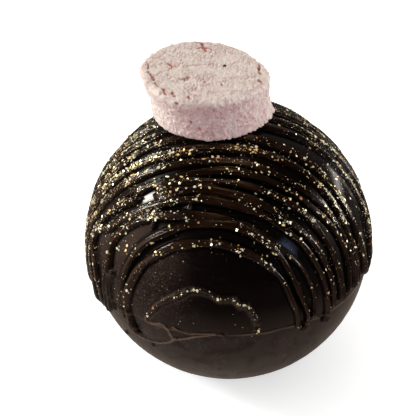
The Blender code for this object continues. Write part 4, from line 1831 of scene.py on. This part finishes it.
@dataclass(frozen=True)
class SoftBox:
    """One soft light, aimed at the ball."""

    name: str
    azimuth: float
    elevation: float
    distance: float
    size: tuple[float, float]
    watts: float
    colour: Colour
    in_reflections: bool = True

    def place(self, target: np.ndarray) -> None:
        """Adds the light to the scene.

        Args:
            target: what it is aimed at.
        """
        data = bpy.data.lights.new(self.name, "AREA")
        data.shape = "RECTANGLE"
        data.size, data.size_y = self.size
        data.energy = self.watts
        data.color = self.colour
        lamp = bpy.data.objects.new(self.name, data)
        offset = Vector(way_towards(self.azimuth, self.elevation))
        lamp.location = Vector(target) + offset * self.distance
        lamp.rotation_euler = (-offset).to_track_quat("-Z", "Y").to_euler()
        lamp.visible_camera = False
        lamp.visible_glossy = self.in_reflections
        bpy.context.scene.collection.objects.link(lamp)


@dataclass(frozen=True)
class RoomGlow:
    """A soft glow of the room that shows only in reflections."""

    azimuth: float
    elevation: float
    half_width: float
    strength: float
    colour: Colour


@dataclass
class Studio:
    """The pale floor, the soft light and the camera."""

    ball: BallFrame
    elevation: float = 36.0
    distance_in_radii: float = 5.0
    ball_pixels: float = 139.5
    ball_at: tuple[float, float] = (228.6, 237.5)
    image_pixels: float = 416.0
    sensor_mm: float = 36.0
    floor_size: float = 6.0
    floor_lift: float = 0.34
    floor_reflection_near: Colour = (0.32, 0.255, 0.22)
    floor_reflection_far: Colour = (0.03, 0.024, 0.02)
    floor_reach: tuple[float, float] = (0.035, 0.15)
    boxes: tuple[SoftBox, ...] = (
        SoftBox("left_window", -92, 32, 0.8, (0.16, 0.20), 3.6, (0.93, 1.0, 0.97)),
        SoftBox("right_window", 99, 13, 0.9, (0.26, 0.24), 2.7, (1.0, 0.98, 0.95)),
        SoftBox("back_right_window", 122, 8, 0.9, (0.46, 0.10), 0.45, (1.0, 0.99, 0.95)),
        SoftBox("small_window", 47, 17, 1.0, (0.12, 0.26), 0.34, (0.42, 0.60, 1.0)),
        SoftBox("low_left_glow", -88, -10, 0.13, (0.12, 0.07), 0.014, (1.0, 0.66, 0.52)),
        SoftBox("ceiling", 180, 78, 1.0, (0.30, 0.45), 0.5, (1.0, 0.80, 0.52)),
        SoftBox("left_fill", -98, 14, 1.0, (0.8, 0.5), 6.0, (1.0, 0.98, 0.97), False),
        SoftBox("right_fill", 88, 14, 1.0, (0.8, 0.5), 2.4, (0.90, 0.95, 1.0), False),
    )
    glows: tuple[RoomGlow, ...] = (
        RoomGlow(-75, -4, 48, 1.3, (1.0, 0.76, 0.64)),
        RoomGlow(95, 0, 38, 0.34, (1.0, 0.88, 0.78)),
        RoomGlow(0, 80, 13, 1.7, (1.0, 0.62, 0.24)),
        RoomGlow(180, 10, 60, 0.30, (1.0, 0.92, 0.84)),
    )
    ambient: float = 0.75
    dark_room: float = 0.012

    def build(self) -> None:
        """Adds the floor, the lights, the surroundings and the camera."""
        self.floor()
        self.surroundings()
        for box in self.boxes:
            box.place(self.ball.centre)
        self.camera()

    def floor(self) -> None:
        """A wide pale floor, a little uneven in its whiteness, that shows a painted dim brown in reflections,
        lighter near the ball.
        """
        half = self.floor_size / 2
        corners = np.array([(-half, -half, 0), (half, -half, 0), (half, half, 0), (-half, half, 0)])
        piece = mesh_piece("floor", corners, [(0, 1, 2, 3)], {}, smooth=False)
        made, nodes, shader = new_material("pale_floor")
        place = nodes.add("ShaderNodeTexCoord").outputs["Object"]
        grain = EFFECTS.place(nodes, Effect.FINE_GRAIN, Vector=place, Scale=30.0)
        uneven = nodes.ramp(grain.outputs["Height"], 0.3, 0.7, 0.0, 1.0)
        pale = nodes.blend(uneven, (0.92, 0.92, 0.92), (0.95, 0.95, 0.95))
        paths = nodes.add("ShaderNodeLightPath")
        glossy, seen = paths.outputs["Is Glossy Ray"], paths.outputs["Is Camera Ray"]
        reach = nodes.add("ShaderNodeVectorMath", {"operation": "LENGTH"})
        nodes.put(reach.inputs[0], place)
        # Painted reflection: in reflections the floor is a lit brown near the ball and dark farther off.
        far = nodes.ramp(reach.outputs["Value"], *self.floor_reach)
        shown = nodes.blend(far, self.floor_reflection_near, self.floor_reflection_far)
        colour = nodes.blend(glossy, pale, shown)
        nodes.put(shader.inputs["Base Color"], colour)
        shader.inputs["Emission Color"].default_value = (1.0, 1.0, 1.0, 1.0)
        nodes.put(shader.inputs["Emission Strength"], nodes.maths("MULTIPLY", seen, self.floor_lift))
        shader.inputs["Roughness"].default_value = 0.9
        piece.data.materials.append(made)

    def surroundings(self) -> None:
        """A room that is white to look at, and in reflections dark in front and lighter at the sides."""
        world = bpy.data.worlds.new("room")
        bpy.context.scene.world = world
        world.use_nodes = True
        nodes = NodeTree(world.node_tree)
        world.node_tree.nodes.clear()
        way = nodes.add("ShaderNodeTexCoord").outputs["Generated"]
        colour: Any = tuple(self.dark_room * part for part in (1.0, 0.9, 0.8))
        for glow in self.glows:
            aimed = nodes.add("ShaderNodeVectorMath", {"operation": "DOT_PRODUCT"})
            nodes.put(aimed.inputs[0], way)
            nodes.put(aimed.inputs[1], way_towards(glow.azimuth, glow.elevation))
            share = nodes.ramp(aimed.outputs["Value"], math.cos(math.radians(glow.half_width)), 1.0)
            lit = tuple(c * glow.strength for c in glow.colour)
            adding = nodes.add("ShaderNodeMix", {"data_type": "RGBA", "blend_type": "ADD"})
            nodes.put(adding.inputs[0], share)
            nodes.put(adding.inputs[6], rgba(colour))
            nodes.put(adding.inputs[7], rgba(lit))
            colour = adding.outputs[2]
        path = nodes.add("ShaderNodeLightPath")
        reflected = nodes.add("ShaderNodeBackground", Color=rgba(colour), Strength=1.0)
        soft = nodes.add("ShaderNodeBackground", Color=(1.0, 0.99, 0.97, 1.0), Strength=self.ambient)
        white = nodes.add("ShaderNodeBackground", Color=(1.0, 1.0, 1.0, 1.0), Strength=1.0)
        lighting = nodes.add("ShaderNodeMixShader")
        nodes.put(lighting.inputs[0], path.outputs["Is Glossy Ray"])
        nodes.put(lighting.inputs[1], soft.outputs[0])
        nodes.put(lighting.inputs[2], reflected.outputs[0])
        mix = nodes.add("ShaderNodeMixShader")
        nodes.put(mix.inputs[0], path.outputs["Is Camera Ray"])
        nodes.put(mix.inputs[1], lighting.outputs[0])
        nodes.put(mix.inputs[2], white.outputs[0])
        out = nodes.add("ShaderNodeOutputWorld")
        nodes.put(out.inputs["Surface"], mix.outputs[0])
        view = bpy.context.scene.view_settings
        view.view_transform, view.look = "Standard", "None"

    def camera(self) -> None:
        """The camera at the photograph's angle, with the ball where the photograph has it."""
        focal = self.ball_pixels * math.sqrt(self.distance_in_radii**2 - 1)
        distance = self.distance_in_radii * self.ball.radius
        rise = math.radians(self.elevation)
        eye = self.ball.centre + distance * np.array([0, -math.cos(rise), math.sin(rise)])
        middle = self.image_pixels / 2
        left = (self.ball_at[0] - middle) / focal * distance
        up = (self.ball_at[1] - middle) / focal * distance
        target = self.ball.centre + np.array([-left, up * math.sin(rise), up * math.cos(rise)])
        data = bpy.data.cameras.new("camera")
        data.lens = focal * self.sensor_mm / self.image_pixels
        data.sensor_width = self.sensor_mm
        data.clip_start = 0.01
        data.dof.use_dof = False
        camera = bpy.data.objects.new("camera", data)
        camera.location = Vector(eye)
        camera.rotation_euler = Vector(target - eye).to_track_quat("-Z", "Y").to_euler()
        bpy.context.scene.collection.objects.link(camera)
        bpy.context.scene.camera = camera


def main() -> None:
    """Builds every piece in order."""
    ball = BallFrame()
    dusting = GoldDusting()
    relief = Relief(ball)
    log.info("relief: %d by %d heights", *relief.heights.shape)
    sphere = ChocolateSphere(ball, relief, dusting).build()
    log.info("%s: %d faces", sphere.name, len(sphere.data.polygons))
    flakes = GoldFlakes(ball, relief, dusting).build()
    log.info("%s: %d faces", flakes.name, len(flakes.data.polygons))
    marshmallow = MarshmallowSlice(ball).build()
    log.info("%s: %d faces", marshmallow.name, len(marshmallow.data.polygons))
    Studio(ball).build()


if __name__ == "__main__":
    main()
